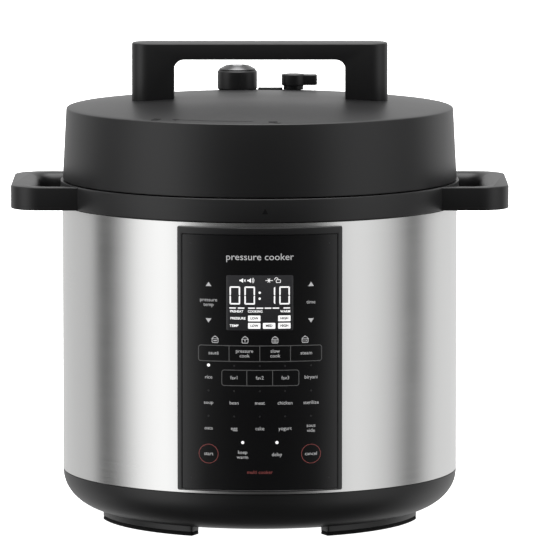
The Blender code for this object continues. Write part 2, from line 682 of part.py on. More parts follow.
fuse_radius, fuse_length = 0.003, 0.024
fuse_centre = (0.0, -0.030, heater_low - fuse_radius - FIT)
lying("thermal_fuse", ZINC_STEEL, fuse_centre, fuse_radius, fuse_length, "X", 12)
switch_x = (SPRING_PLATE_INNER + SPRING_PLATE_OUTER) / 2
switch_high = spring_low - FIT
switch_half_x, switch_half_y, switch_height = 0.010, 0.008, 0.013
block(
    "pressure_switch", GREY_PLASTIC,
    (switch_x - switch_half_x, -switch_half_y, switch_high - switch_height),
    (switch_x + switch_half_x, switch_half_y, switch_high),
)

# ---- Power board in the base ----------------------------------------------------------------
board_half_x, board_half_y, board_rise = 0.046, 0.032, 0.007
board_low = BASE_FLOOR + BASE_WALL + board_rise
board_top = board_low + BOARD_THICKNESS
block(
    "power_board", BOARD,
    (-board_half_x, -board_half_y, board_low), (board_half_x, board_half_y, board_top),
)
stand_off_inset, stand_off_radius = 0.005, 0.003
for number, (side_x, side_y) in enumerate(((1, 1), (-1, 1), (-1, -1), (1, -1))):
    centre = (side_x * (board_half_x - stand_off_inset), side_y * (board_half_y - stand_off_inset))
    low, high = BASE_FLOOR + OVERLAP, board_low - FIT
    join(cooker_base, upright(f"stand_off_{number}", None, centre, stand_off_radius, low, high, 6))
part_low = board_top + FIT
block("transformer", GREY_PLASTIC, (-0.034, -0.006, part_low), (-0.016, 0.014, part_low + 0.015))
block("heater_relay", BLACK, (0.022, -0.012, part_low), (0.038, 0.004, part_low + 0.013))
upright("filter_capacitor", CABLE, (0.002, -0.012), 0.006, part_low, part_low + 0.014, 16)
block("terminal_block", GREY_PLASTIC, (-0.012, 0.020, part_low), (0.012, 0.029, part_low + 0.009))

# ---- Control panel --------------------------------------------------------------------------
panel_half_angle = math.asin(PANEL_HALF_WIDTH / panel_radius)
opening_angle = panel_half_angle - OPENING_MARGIN / panel_radius
opening_low, opening_high = panel_low + OPENING_MARGIN, panel_high - OPENING_MARGIN
cut(outer_shell, ring_block(
    "panel_opening", None, SHELL_RADIUS - 10 * OVERLAP, SHELL_RADIUS + 10 * OVERLAP,
    opening_low, opening_high, FRONT, opening_angle, 12,
))

panel_frame = ring_block(
    "panel_frame", BLACK, SHELL_RADIUS + FIT, panel_radius,
    panel_low, panel_high, FRONT, panel_half_angle, 16,
)
spigot_gap = FIT / panel_radius
spigot = ring_block(
    "panel_spigot", None, SHELL_RADIUS - SPIGOT_WALL, SHELL_RADIUS + PANEL_PROUD / 3,
    opening_low + FIT, opening_high - FIT, FRONT, opening_angle - 2 * spigot_gap, 16,
)
spigot_hollow = ring_block(
    "spigot_hollow", None, SHELL_RADIUS - 20 * OVERLAP, SHELL_RADIUS + 2 * FIT,
    opening_low + SPIGOT_WALL, opening_high - SPIGOT_WALL,
    FRONT, opening_angle - SPIGOT_WALL / panel_radius, 16,
)
cut(spigot, spigot_hollow)
join(panel_frame, spigot)
recess_radius = panel_radius - PANEL_RECESS
recess_angle = panel_half_angle - PANEL_SIDE_BORDER / panel_radius
cut(panel_frame, ring_block(
    "panel_recess", None, recess_radius, panel_radius + 5 * OVERLAP,
    panel_low + PANEL_BOTTOM_BORDER, panel_high - PANEL_TOP_BORDER, FRONT, recess_angle, 16,
))
display_low, display_high = shell_top - DISPLAY_LOW, shell_top - DISPLAY_HIGH
window = DISPLAY_HALF_WIDTH + WINDOW_MARGIN
cut(panel_frame, block(
    "display_window", None,
    (-window, -panel_radius - 5 * OVERLAP, display_low - WINDOW_MARGIN),
    (window, -SHELL_RADIUS + 12 * OVERLAP, display_high + WINDOW_MARGIN),
))
overlay_inner = recess_radius + FIT
ring_block(
    "panel_overlay", GLOSS, overlay_inner, overlay_inner + OVERLAY_THICKNESS,
    panel_low + PANEL_BOTTOM_BORDER + FIT, panel_high - PANEL_TOP_BORDER - FIT,
    FRONT, recess_angle - spigot_gap, 16,
)
module_front = math.sqrt(overlay_inner ** 2 - DISPLAY_HALF_WIDTH ** 2) - FIT
block(
    "display_module", GLOSS,
    (-DISPLAY_HALF_WIDTH, -module_front, display_low),
    (DISPLAY_HALF_WIDTH, -module_front + DISPLAY_DEPTH, display_high),
)
touch_front = module_front - DISPLAY_DEPTH - 2 * FIT
touch_back = touch_front - BOARD_THICKNESS
touch_half = math.sqrt((shell_inner - 5 * FIT) ** 2 - touch_front ** 2)
block(
    "touch_board", BOARD,
    (-touch_half, -touch_front, opening_low + TOUCH_MARGIN),
    (touch_half, -touch_back, opening_high - TOUCH_MARGIN),
)
beeper_radius, beeper_height = 0.0055, 0.004
beeper_centre = (0.024, -touch_back + beeper_height / 2 + FIT, opening_low + 0.030)
lying("beeper", CABLE, beeper_centre, beeper_radius, beeper_height, "Y", 16)

# ---- The two cables, each through the points of its route --------------------------------------
CABLE_BEND = 0.008
PANEL_CABLE_RADIUS, MAINS_LEAD_RADIUS = 0.0022, 0.0028
cable_y = -touch_back + PANEL_CABLE_RADIUS + 3 * FIT
ribbon_route = [
    (0.0, cable_y, opening_low + 0.028),
    (0.0, cable_y, SHIELD_FLOOR + 0.004),
    (0.0, cable_y + 0.003, SHIELD_FLOOR - 0.008),
    (0.0, -0.100, board_top + 0.006),
    (0.0, -0.060, board_top + 0.003),
    (0.0, -0.034, board_top + 0.003),
]
wire("panel_cable", CABLE, bend_through(ribbon_route, CABLE_BEND), PANEL_CABLE_RADIUS)

# ---- Mains inlet at the rear ----------------------------------------------------------------
inlet_height = SHELL_BOTTOM + INLET_RISE
inlet_low, inlet_high = inlet_height - INLET_HALF_HEIGHT, inlet_height + INLET_HALF_HEIGHT
cut(outer_shell, block(
    "inlet_opening", None,
    (-INLET_HALF_WIDTH - FIT, SHELL_RADIUS - 10 * OVERLAP, inlet_low - FIT),
    (INLET_HALF_WIDTH + FIT, SHELL_RADIUS + 5 * OVERLAP, inlet_high + FIT),
))
flange_angle = math.asin(INLET_FLANGE_HALF_WIDTH / SHELL_RADIUS)
power_inlet = ring_block(
    "power_inlet", BLACK, SHELL_RADIUS + FIT, SHELL_RADIUS + FIT + INLET_FLANGE,
    inlet_low - INLET_FLANGE_MARGIN, inlet_high + INLET_FLANGE_MARGIN, REAR, flange_angle, 8,
)
inlet_back = SHELL_RADIUS - INLET_DEPTH
join(power_inlet, block(
    "inlet_body", None,
    (-INLET_HALF_WIDTH, inlet_back, inlet_low), (INLET_HALF_WIDTH, SHELL_RADIUS + OVERLAP, inlet_high),
))
socket_x, socket_z = INLET_HALF_WIDTH - INLET_WALL, INLET_HALF_HEIGHT - INLET_WALL - INLET_LEDGE
cut(power_inlet, block(
    "inlet_socket", None,
    (-socket_x, inlet_back + INLET_WALL, inlet_height - socket_z),
    (socket_x, SHELL_RADIUS + 10 * OVERLAP, inlet_height + socket_z),
))
pin_start = inlet_back + INLET_WALL + FIT
pin_places = (
    ("live", PIN_SPREAD, -PIN_OFFSET), ("earth", 0.0, PIN_OFFSET), ("neutral", -PIN_SPREAD, -PIN_OFFSET),
)
for name, x, z in pin_places:
    low = (x - PIN_HALF_WIDTH, pin_start, inlet_height + z - PIN_HALF_HEIGHT)
    high = (x + PIN_HALF_WIDTH, SHELL_RADIUS - 5 * FIT, inlet_height + z + PIN_HALF_HEIGHT)
    block("inlet_pin_" + name, BRIGHT_STEEL, low, high)

lead_y = SHELL_RADIUS - 0.0108
mains_route = [
    (0.0, lead_y, inlet_low - 3 * FIT),
    (0.0, lead_y, inlet_low - 0.010),
    (0.0, SHELL_RADIUS - 0.0300, board_top + 0.012),
    (0.0, SHELL_RADIUS - 0.0700, board_top + 0.006),
    (0.0, 0.031, part_low + 0.005),
]
wire("mains_lead", CABLE, bend_through(mains_route, CABLE_BEND), MAINS_LEAD_RADIUS)

# ---- Condensate cup behind, in its bracket ----------------------------------------------------
cup_high = collar_bottom - CUP_BELOW_COLLAR
cup_low = cup_high - CUP_HEIGHT
web_outer = SHELL_RADIUS + FIT + BRACKET_WEB
cup_inner = web_outer + FIT
cup_outer = cup_inner + CUP_DEPTH
cup_gap = FIT / SHELL_RADIUS
rail_angle = CUP_HALF_ANGLE + 3 * cup_gap + BRACKET_RAIL / SHELL_RADIUS
cup_bracket = ring_block(
    "cup_bracket", BLACK, SHELL_RADIUS + FIT, cup_outer - BRACKET_WEB,
    cup_low + BRACKET_LOW, cup_high + BRACKET_HIGH, REAR, rail_angle, 10,
)
cut(cup_bracket, ring_block(
    "cup_slide_way", None, web_outer, cup_outer + 4 * OVERLAP,
    cup_low - 10 * OVERLAP, cup_high + 10 * OVERLAP, REAR, CUP_HALF_ANGLE + cup_gap, 10,
))
condensate_cup = ring_block(
    "condensate_cup", CLEAR, cup_inner, cup_outer, cup_low, cup_high, REAR, CUP_HALF_ANGLE, 8,
)
cut(condensate_cup, ring_block(
    "cup_hollow", None, cup_inner + CUP_WALL, cup_outer - CUP_WALL,
    cup_low + CUP_WALL, cup_high + 5 * OVERLAP, REAR, CUP_HALF_ANGLE - CUP_WALL / SHELL_RADIUS, 8,
))

# ---- Inner pot ------------------------------------------------------------------------------
pot_inner = pot_radius - POT_WALL
rim_low = pot_rim_top - POT_WALL
corner_centre = (pot_radius - POT_CORNER, POT_FLOOR + POT_CORNER)
outside = arc(corner_centre, POT_CORNER, 0, -0.5 * math.pi, 3)
inside = arc(corner_centre, POT_CORNER - POT_WALL, -0.5 * math.pi, 0, 3)
pot_outline = [(pot_rim_radius, pot_rim_top), (pot_rim_radius, rim_low), (pot_radius + RIM_ROLL / 2, rim_low)]
pot_outline += [(pot_radius, rim_low - RIM_ROLL)] + outside + [(0.0, POT_FLOOR), (0.0, POT_FLOOR + POT_WALL)]
pot_outline += inside + [(pot_inner, rim_low - RIM_ROLL / 2), (pot_inner + RIM_ROLL, pot_rim_top)]
inner_pot = turned("inner_pot", BRIGHT_STEEL, pot_outline)

# ---- Lid: steel plate with tabs, rack, seal --------------------------------------------------
plate_edge_top = lid_bottom + PLATE_LIFT
plate_under = plate_edge_top - PLATE_WALL
half_tab = math.pi / TAB_COUNT
plate_shape = [(0.0, 1.0), (0.5, 0.92), (0.84, 0.30), (1.0, 0.0)]
plate_top_line = [(share * lid_skirt, plate_edge_top + PLATE_DOME * rise) for share, rise in plate_shape]
inner_skirt = lid_skirt - PLATE_WALL
plate_low_line = [(share * inner_skirt, plate_under + PLATE_DOME * rise) for share, rise in plate_shape]
plate_outline = plate_top_line + [(lid_skirt, lid_tab_bottom), (inner_skirt, lid_tab_bottom)]
plate_outline += plate_low_line[::-1]
lid_plate = turned("lid_plate", BRIGHT_STEEL, plate_outline)
tab_foot = lid_tab_bottom + FIT / 3
for number in range(TAB_COUNT):
    angle = half_tab + 2 * math.pi * number / TAB_COUNT
    size = (lid_skirt - PLATE_WALL / 2, lid_tab_reach, tab_foot, lid_tab_top, angle, TAB_HALF_ANGLE, 5)
    join(lid_plate, ring_block(f"lid_tab_{number}", None, *size))


def plate_height(radius, line):
    """Height of one of the plate's surfaces at a radius."""
    for (inner, high), (outer, low) in zip(line, line[1:]):
        if radius <= outer:
            return high + (low - high) * (radius - inner) / (outer - inner)
    return line[-1][1]


seal_outer = inner_skirt - FIT
seal_inner = seal_outer - SEAL_WIDTH
seal_low = pot_rim_top + FIT
seal_high = seal_low + SEAL_HEIGHT
groove_low, groove_high = seal_low + GROOVE_LOW, seal_low + GROOVE_HIGH
seal_outline = [
    (seal_outer, seal_high), (seal_outer, seal_low), (seal_inner, seal_low), (seal_inner, groove_low),
    (seal_inner + GROOVE_DEPTH, groove_low), (seal_inner + GROOVE_DEPTH, groove_high),
    (seal_inner, groove_high), (seal_inner, seal_high),
]
sealing_ring = turned("sealing_ring", SILICONE, seal_outline)

rack_outer = seal_inner - 2 * FIT
rack_inner = rack_outer - RACK_WALL
rack_high = plate_height(rack_outer, plate_low_line) - FIT
rack_edge = seal_inner + GROOVE_DEPTH - 2 * FIT
rack_outline = [
    (rack_outer, rack_high), (rack_outer, groove_high - 2 * FIT), (rack_edge, groove_high - 2 * FIT),
    (rack_edge, groove_low + 2 * FIT), (rack_inner, groove_low + 2 * FIT), (rack_inner, rack_high),
]
ring_rack = turned("ring_rack", BRIGHT_STEEL, rack_outline)

# ---- Lid: cover, underside and handle --------------------------------------------------------
inner_dome = lid_dome(LID_WALL)
cover_outline = lid_dome()[:-1] + [(lid_rim_radius - EDGE_BREAK, dome_height(lid_rim_radius - EDGE_BREAK))]
cover_outline += [(lid_rim_radius + EDGE_BREAK / 4, lid_edge - EDGE_BREAK), (lid_radius, lid_bottom)]
cover_outline += [(lid_radius - LID_WALL, lid_bottom)]
cover_outline += [(lid_rim_radius - LID_WALL, inner_dome[-1][1])] + inner_dome[-2::-1]
lid_cover = turned("lid_cover", BLACK, cover_outline)

under_outer = lid_radius - LID_WALL - 3 * FIT
under_low = lid_bottom + UNDER_RING_LIFT
under_high = under_low + UNDER_RING_HEIGHT
under_inner = lid_skirt + 2 * FIT
under_outline = [
    (under_outer, under_high), (under_outer, under_low), (under_inner, under_low), (under_inner, under_high),
]
lid_under_ring = turned("lid_under_ring", BLACK, under_outline)

handle_plan = rounded_rectangle(HANDLE_HALF_LENGTH, HANDLE_HALF_DEPTH, HANDLE_CORNER)
lid_handle = prism("lid_handle", BLACK, handle_plan, lid_edge - 0.001, handle_top)
opening_half = HANDLE_HALF_LENGTH - HANDLE_LEG
opening_top = handle_top - HANDLE_GRIP
fillet_centre = (opening_half - HANDLE_FILLET, opening_top - HANDLE_FILLET)
upper_right = arc(fillet_centre, HANDLE_FILLET, 0, 0.5 * math.pi, 5)
upper_left = [(-x, z) for x, z in reversed(upper_right)]
below_lid = lid_edge - 10 * OVERLAP
above_lid = lid_top + 10 * OVERLAP
opening = [(opening_half, below_lid)] + upper_right + upper_left + [(-opening_half, below_lid)]
opening_depth = HANDLE_HALF_DEPTH + 10 * OVERLAP
hand_opening = prism("hand_opening", None, opening, -opening_depth, opening_depth)
hand_opening.data.transform(Matrix.Rotation(math.pi / 2, 4, "X"))
cut(lid_handle, hand_opening)
clear_dome = [(r, z + FIT) for r, z in lid_dome(0.0, 8)]
cut(lid_handle, turned("dome_cutter", None, clear_dome + [(lid_rim_radius, below_lid), (0.0, below_lid)]))
soften(lid_handle, EDGE_BREAK, 60)

handle_screws = []
leg_x = HANDLE_HALF_LENGTH - HANDLE_LEG / 2
for side, sign in (("right", 1), ("left", -1)):
    centre = (sign * leg_x, 0.0)
    under = dome_height(leg_x + SCREW_HEAD_RADIUS) - LID_WALL - FIT
    tip = under + SCREW_LENGTH
    profile = [(0.0, tip), (SCREW_RADIUS, tip), (SCREW_RADIUS, under - FIT), (SCREW_HEAD_RADIUS, under - FIT)]
    profile += [(SCREW_HEAD_RADIUS, under - SCREW_HEAD), (0.0, under - SCREW_HEAD)]
    handle_screws.append(turned("handle_screw_" + side, ZINC_STEEL, profile, centre, 12))
    hole = upright("handle_screw_way_" + side, None, centre, screw_hole, under - 4 * OVERLAP, tip + OVERLAP, 12)
    cut(lid_cover, hole)
    cut(lid_handle, hole)

# ---- Lid: centre bolt, steam pipe and filter --------------------------------------------------
boss_radius, bolt_radius, nut_radius = 0.006, 0.0025, 0.0065
plate_centre_top = plate_top_line[0][1]
plate_centre_low = plate_low_line[0][1]
bolt_tip = plate_centre_top + SCREW_LENGTH
bolt_hole = bolt_radius + SCREW_CLEARANCE
boss_low, boss_high = plate_centre_top + FIT, lid_top - LID_WALL / 2
join(lid_cover, upright("cover_boss", None, (0, 0), boss_radius, boss_low, boss_high, 16))
low, high = plate_centre_top - 2 * OVERLAP, bolt_tip + OVERLAP
cut(lid_cover, upright("bolt_way", None, (0, 0), bolt_hole, low, high, 12))
low, high = plate_centre_low - 2 * OVERLAP, plate_centre_top + 2 * OVERLAP
cut(lid_plate, upright("bolt_hole", None, (0, 0), bolt_hole, low, high, 12))
nut_high = plate_centre_low - FIT
nut_side, nut_height = 0.0030, 0.0070
nut_outline = [
    (0.0, bolt_tip), (bolt_radius, bolt_tip), (bolt_radius, nut_high), (nut_radius, nut_high),
    (nut_radius, nut_high - nut_side), (0.6 * nut_radius, nut_high - 0.9 * nut_height),
    (0.0, nut_high - nut_height),
]
centre_bolt = turned("centre_bolt", BRIGHT_STEEL, nut_outline, steps=SMALL_STEPS)

valve_centre = (VALVE_X, VALVE_Y)
valve_circle = math.hypot(VALVE_X, VALVE_Y)
deck = lid_edge + DECK_RISE
weight_low = deck + FIT
weight_high = weight_low + VALVE_HEIGHT
plate_at_valve = plate_height(valve_circle, plate_low_line)
pipe_low = plate_at_valve - PIPE_FOOT
pipe_high = weight_high - WEIGHT_TOP - VALVE_TRAVEL
pipe_bore = PIPE_RADIUS - PIPE_WALL
seat_radius = PIPE_RADIUS + SEAT_SIZE
seat_low = plate_height(valve_circle - seat_radius, plate_top_line) + FIT
seat_high = seat_low + SEAT_SIZE
pipe_outline = [
    (PIPE_RADIUS, pipe_high), (PIPE_RADIUS, seat_high), (seat_radius, seat_high), (seat_radius, seat_low),
    (PIPE_RADIUS, seat_low), (PIPE_RADIUS, pipe_low), (pipe_bore, pipe_low), (pipe_bore, pipe_high),
]
steam_pipe = turned("steam_pipe", BRIGHT_STEEL, pipe_outline, valve_centre, SMALL_STEPS)
pipe_way = PIPE_RADIUS + FIT
cut(lid_plate, upright("pipe_hole", None, valve_centre, pipe_way, plate_at_valve - 6 * OVERLAP, seat_high, 16))
filter_radius = PIPE_RADIUS + FILTER_MARGIN
filter_bore = filter_radius - FILTER_WALL
filter_high = plate_height(valve_circle + filter_radius, plate_low_line) - FIT
filter_low = filter_high - FILTER_HEIGHT
filter_roof = filter_high - FILTER_WALL
filter_outline = [
    (filter_radius, filter_high), (filter_radius, filter_low), (0.0, filter_low),
    (0.0, filter_low + FILTER_WALL), (filter_bore, filter_low + FILTER_WALL), (filter_bore, filter_roof),
    (pipe_way, filter_roof), (pipe_way, filter_high),
]
steam_filter = turned("steam_filter", BRIGHT_STEEL, filter_outline, valve_centre, SMALL_STEPS)
for number in range(4):
    angle = math.pi * (number + 0.5) / 4
    reach = filter_radius + 2 * OVERLAP
    half = SLIT_HALF_WIDTH
    plan = [(-reach, -half), (reach, -half), (reach, half), (-reach, half)]
    slit = prism(f"filter_slit_{number}", None, plan, filter_low + SLIT_LOW, filter_high - SLIT_HIGH)
    slit.data.transform(Matrix.Translation((*valve_centre, 0)) @ Matrix.Rotation(angle, 4, "Z"))
    cut(steam_filter, slit)

# ---- Steam valve: weight with its cap, and the arm that lifts it --------------------------------
sleeve_bore = PIPE_RADIUS + 2 * FIT
weight_roof = weight_high - WEIGHT_TOP + 2 * FIT
weight_outline = [
    (VALVE_RADIUS - EDGE_BREAK, weight_high), (VALVE_RADIUS, weight_high - 2 * EDGE_BREAK),
    (VALVE_RADIUS, weight_low), (sleeve_bore, weight_low), (sleeve_bore, weight_roof),
    (0.0, weight_roof), (0.0, weight_high),
]
valve_weight = turned("valve_weight", BLACK, weight_outline, valve_centre, 32)
cap_low = weight_high + FIT
cap_edge = VALVE_RADIUS - 0.0012
valve_cap_outline = [
    (0.0, cap_low + VALVE_CONE * 0.8), (VALVE_TOP_RADIUS * 0.85, cap_low + VALVE_CONE * 0.86),
    (VALVE_TOP_RADIUS, cap_low + VALVE_CONE), (cap_edge, cap_low + FIT), (cap_edge, cap_low), (0.0, cap_low),
]
valve_cap = turned("valve_cap", BRIGHT_STEEL, valve_cap_outline, valve_centre, 32)

arm_low = dome_height(LEVER_X) - LID_WALL - ARM_DROP
sleeve_high = weight_low - FIT
sleeve_outer = sleeve_bore + SLEEVE_WALL
lever_centre = (LEVER_X, VALVE_Y)
sleeve_outline = [
    (sleeve_outer, sleeve_high), (sleeve_outer, arm_low), (sleeve_bore, arm_low), (sleeve_bore, sleeve_high),
]
lift_arm = turned("lift_arm", GREY_PLASTIC, sleeve_outline, valve_centre, SMALL_STEPS)
join(lift_arm, block(
    "arm_bar", None,
    (VALVE_X + sleeve_bore + SLEEVE_WALL / 2, VALVE_Y - ARM_HALF_WIDTH, arm_low + FIT / 3),
    (LEVER_X - SHAFT_RADIUS - 4 * FIT, VALVE_Y + ARM_HALF_WIDTH, arm_low + ARM_HEIGHT),
))

# A flat deck is cut in the lid under the weight and the lever, with a rib between the two.
deck_radius = VALVE_RADIUS + DECK_MARGIN
deck_plan = arc(valve_centre, deck_radius, 0.5 * math.pi, 1.5 * math.pi, 12)
deck_plan += arc(lever_centre, deck_radius, -0.5 * math.pi, 0.5 * math.pi, 12)
cut(lid_cover, prism("deck_cutter", None, deck_plan, deck, above_lid))
rib_start = VALVE_X + VALVE_RADIUS + DECK_RIB_GAP
rib_end = LEVER_X - LEVER_RADIUS - DECK_RIB_GAP
join(lid_cover, block(
    "deck_rib", None,
    (rib_start, VALVE_Y - DECK_RIB_HALF_WIDTH, deck - OVERLAP),
    (rib_end, VALVE_Y + DECK_RIB_HALF_WIDTH, deck + DECK_RIB_HEIGHT),
))
cut(lid_cover, upright("valve_way", None, valve_centre, sleeve_outer + 2 * FIT, arm_low, above_lid, 24))


def cam_ramp(name):
    """A ramp round the lever's shaft, which rises as it is followed clockwise from the arm."""
    bm = bmesh.new()
    low = arm_low - CAM_HEIGHT
    start, end = math.pi + CAM_LEAD, math.pi - LEVER_SWING - CAM_LEAD
    rings = []
    for step in range(CAM_STEPS + 1):
        angle = start + (end - start) * step / CAM_STEPS
        rise = VALVE_TRAVEL * (math.pi - angle) / LEVER_SWING
        top = arm_low - CAM_GAP + rise
        corners = [(SHAFT_RADIUS / 2, low), (CAM_RADIUS, low), (CAM_RADIUS, top), (SHAFT_RADIUS / 2, top)]
        ring = []
        for radius, height in corners:
            x, y = on_circle(radius, angle)
            ring.append(bm.verts.new((lever_centre[0] + x, lever_centre[1] + y, height)))
        rings.append(ring)
    for first, second in zip(rings, rings[1:]):
        for index in range(4):
            after = (index + 1) % 4
            bm.faces.new((first[index], first[after], second[after], second[index]))
    bm.faces.new(rings[0])
    bm.faces.new(rings[-1])
    return object_from(name, bm, None)


# ---- Release lever --------------------------------------------------------------------------
lever_high = deck + LEVER_TOP
band_low = lever_high - LEVER_THICKNESS
hub_low, hub_high = deck + FIT, lever_high - OVERLAP
release_lever = upright("release_lever", BLACK, lever_centre, LEVER_RADIUS, hub_low, hub_high, 24)
join(release_lever, upright("lever_band", None, lever_centre, LEVER_BAND, band_low, lever_high, 24))
flag_tip, flag_corner = LEVER_X + LEVER_FLAG, 0.002
flag_near, flag_far = VALVE_Y - LEVER_HALF_WIDTH, VALVE_Y + LEVER_HALF_WIDTH
flag_plan = [
    (LEVER_X, flag_near), (flag_tip - flag_corner, flag_near), (flag_tip, flag_near + flag_corner),
    (flag_tip, flag_far - flag_corner), (flag_tip - flag_corner, flag_far), (LEVER_X, flag_far),
]
join(release_lever, prism("lever_flag", None, flag_plan, band_low + FIT, lever_high - FIT))
shaft_top = lever_high - 0.004
cam_low = arm_low - CAM_HEIGHT
shaft_low = cam_low - SHAFT_FOOT
lever_shaft = upright("lever_shaft", GREY_PLASTIC, lever_centre, SHAFT_RADIUS, shaft_low, shaft_top - FIT, 16)
join(lever_shaft, cam_ramp("cam_ramp"))
socket_radius, socket_low = SHAFT_RADIUS + FIT, deck - 2 * OVERLAP
cut(release_lever, upright("shaft_socket", None, lever_centre, socket_radius, socket_low, shaft_top, 16))
cut(lid_cover, upright("shaft_way", None, lever_centre, socket_radius + FIT, arm_low, above_lid, 16))

# ---- Float valve: pin and silicone plug -------------------------------------------------------
float_centre = (FLOAT_X, FLOAT_Y)
float_circle = math.hypot(*float_centre)
float_high = dome_height(float_circle) - FLOAT_DROP
plate_at_float = plate_height(float_circle, plate_low_line)
plug_high = plate_height(float_circle + PLUG_RADIUS, plate_low_line) - FLOAT_TRAVEL - 2 * FIT
plug_low = plug_high - PLUG_HEIGHT
head_radius, head_low = FLOAT_RADIUS + FLOAT_HEAD, float_high - FLOAT_HEAD_HEIGHT
float_outline = [
    (0.0, float_high), (head_radius, float_high - FIT), (head_radius, head_low),
    (FLOAT_RADIUS, head_low), (FLOAT_RADIUS, plug_high + FIT), (0.0, plug_high + FIT),
]
float_pin = turned("float_pin", BRIGHT_STEEL, float_outline, float_centre, 16)
plug_outline = [
    (0.0, plug_high), (PLUG_RADIUS * 0.92, plug_high), (PLUG_RADIUS, plug_low + PLUG_HEIGHT / 4),
    (PLUG_RADIUS * 0.58, plug_low), (0.0, plug_low),
]
float_plug = turned("float_plug", RED_SILICONE, plug_outline, float_centre, 16)
float_way = FLOAT_RADIUS + 3 * FIT
low, high = plate_at_float - 5 * OVERLAP, plate_at_float + 5 * OVERLAP
cut(lid_plate, upright("float_hole", None, float_centre, float_way, low, high, 16))
cut(lid_cover, upright("float_window", None, float_centre, head_radius + 2 * FIT, below_lid, above_lid, 16))

# ---- Axes of the pieces that move -------------------------------------------------------------
hang(pivot("pot_axis", (0, 0, POT_FLOOR)), inner_pot)
hang(pivot("seal_axis", (0, 0, seal_low)), sealing_ring)
lid_axis = pivot("lid_axis", (0, 0, lid_bottom))
hang(lid_axis, lid_plate, ring_rack, lid_cover, lid_under_ring, lid_handle, centre_bolt, steam_pipe, steam_filter)
hang(lid_axis, *handle_screws)
hang(pivot("valve_axis", (VALVE_X, VALVE_Y, weight_low)), valve_weight, valve_cap, lift_arm)
hang(pivot("lever_axis", (LEVER_X, VALVE_Y, deck)), release_lever, lever_shaft)
hang(pivot("float_axis", (FLOAT_X, FLOAT_Y, float_high)), float_pin, float_plug)
hang(pivot("sensor_axis", (0, 0, heater_top)), sensor_cap)
hang(pivot("cup_axis", (0, SHELL_RADIUS, cup_high)), condensate_cup)
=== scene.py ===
# %% [markdown]
# # The looks of an electric pressure cooker
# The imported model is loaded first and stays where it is. It moves, it collides, and it gives every
# place and size below. This lesson builds what the eye sees around it: smooth turned metal, moulded
# black plastic, a printed glass-like control panel, and the studio that they stand in.

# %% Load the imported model
import math

import bmesh
import bpy
from mathutils import Matrix, Vector


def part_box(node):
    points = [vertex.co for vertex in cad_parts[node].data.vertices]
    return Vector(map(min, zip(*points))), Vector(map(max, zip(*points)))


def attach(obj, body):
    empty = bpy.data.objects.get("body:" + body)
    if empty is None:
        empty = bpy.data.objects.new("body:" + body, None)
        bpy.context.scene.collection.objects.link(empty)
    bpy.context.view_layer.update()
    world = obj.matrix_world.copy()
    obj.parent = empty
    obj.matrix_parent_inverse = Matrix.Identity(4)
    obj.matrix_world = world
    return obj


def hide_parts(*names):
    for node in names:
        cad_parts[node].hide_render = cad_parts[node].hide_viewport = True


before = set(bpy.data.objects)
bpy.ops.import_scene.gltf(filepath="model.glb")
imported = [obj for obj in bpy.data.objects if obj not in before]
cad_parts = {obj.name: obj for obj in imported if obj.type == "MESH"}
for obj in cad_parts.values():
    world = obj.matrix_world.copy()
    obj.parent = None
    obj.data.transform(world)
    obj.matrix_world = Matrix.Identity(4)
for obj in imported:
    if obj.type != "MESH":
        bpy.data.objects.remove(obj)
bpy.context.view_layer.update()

MM = 0.001
FRONT, REAR = -math.pi / 2, math.pi / 2


def span(node):
    """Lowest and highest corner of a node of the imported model, in millimetres."""
    low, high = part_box(node)
    return low / MM, high / MM


# %% [markdown]
# ## The camera
# The cooker is seen from a little above, from far away, so its upright lines stay upright. A long
# lens does this. The camera is turned by a fraction of a degree to frame the cooker, which needs no
# lens shift, so every other view stays framed as well.

# %% Camera
camera_data = bpy.data.cameras.new("camera")
camera_data.lens = 425.0
camera_data.sensor_width = 36.0
camera_data.clip_end = 100.0
camera = bpy.data.objects.new("camera", camera_data)
camera.location = (0.0, -4.505, 0.682)
camera.rotation_euler = (math.radians(90 - 6.550), 0.0, math.radians(-0.103))
bpy.context.scene.collection.objects.link(camera)
bpy.context.scene.camera = camera
print("camera distance:", round(camera.location.length, 2), "m")

# %% [markdown]
# ## Shader maths as Python
# A material is a tree of nodes, and its maths is easier to read as expressions. `Wire` wraps one
# output of a node, and Python's operators on it add Math nodes. `Bench.node` makes any other node.
# Colours never pass through Math nodes, which would turn them grey: they are mixed instead.

# %% Wires and benches
class Wire:
    """One output of a node. Operators on it add Math nodes to the same tree."""

    def __init__(self, bench, socket):
        self.bench, self.socket = bench, socket

    def math(self, operation, *values):
        return self.bench.node("ShaderNodeMath", {"operation": operation}, dict(enumerate(values)))

    def __add__(self, other):
        return self.math("ADD", self, other)

    def __sub__(self, other):
        return self.math("SUBTRACT", self, other)

    def __rsub__(self, other):
        return self.math("SUBTRACT", other, self)

    def __mul__(self, other):
        return self.math("MULTIPLY", self, other)

    def __truediv__(self, other):
        return self.math("DIVIDE", self, other)

    __radd__, __rmul__ = __add__, __mul__

    def output(self, name):
        return Wire(self.bench, self.socket.node.outputs[name])


class Bench:
    """A node tree, and the one way in which nodes are put on it."""

    def __init__(self, tree):
        self.tree = tree

    def node(self, kind, settings=None, sockets=None, output=0):
        made = self.tree.nodes.new(kind)
        for name, value in (settings or {}).items():
            if name == "stops":
                ramp = made.color_ramp
                while len(ramp.elements) < len(value):
                    ramp.elements.new(0.5)
                for stop, (place, grey) in zip(ramp.elements, value):
                    stop.position = place
                    stop.color = (grey, grey, grey, 1.0)
            else:
                setattr(made, name, value)
        for name, value in (sockets or {}).items():
            if isinstance(value, Wire):
                self.tree.links.new(value.socket, made.inputs[name])
            else:
                made.inputs[name].default_value = value
        return Wire(self, made.outputs[output]) if made.outputs else made


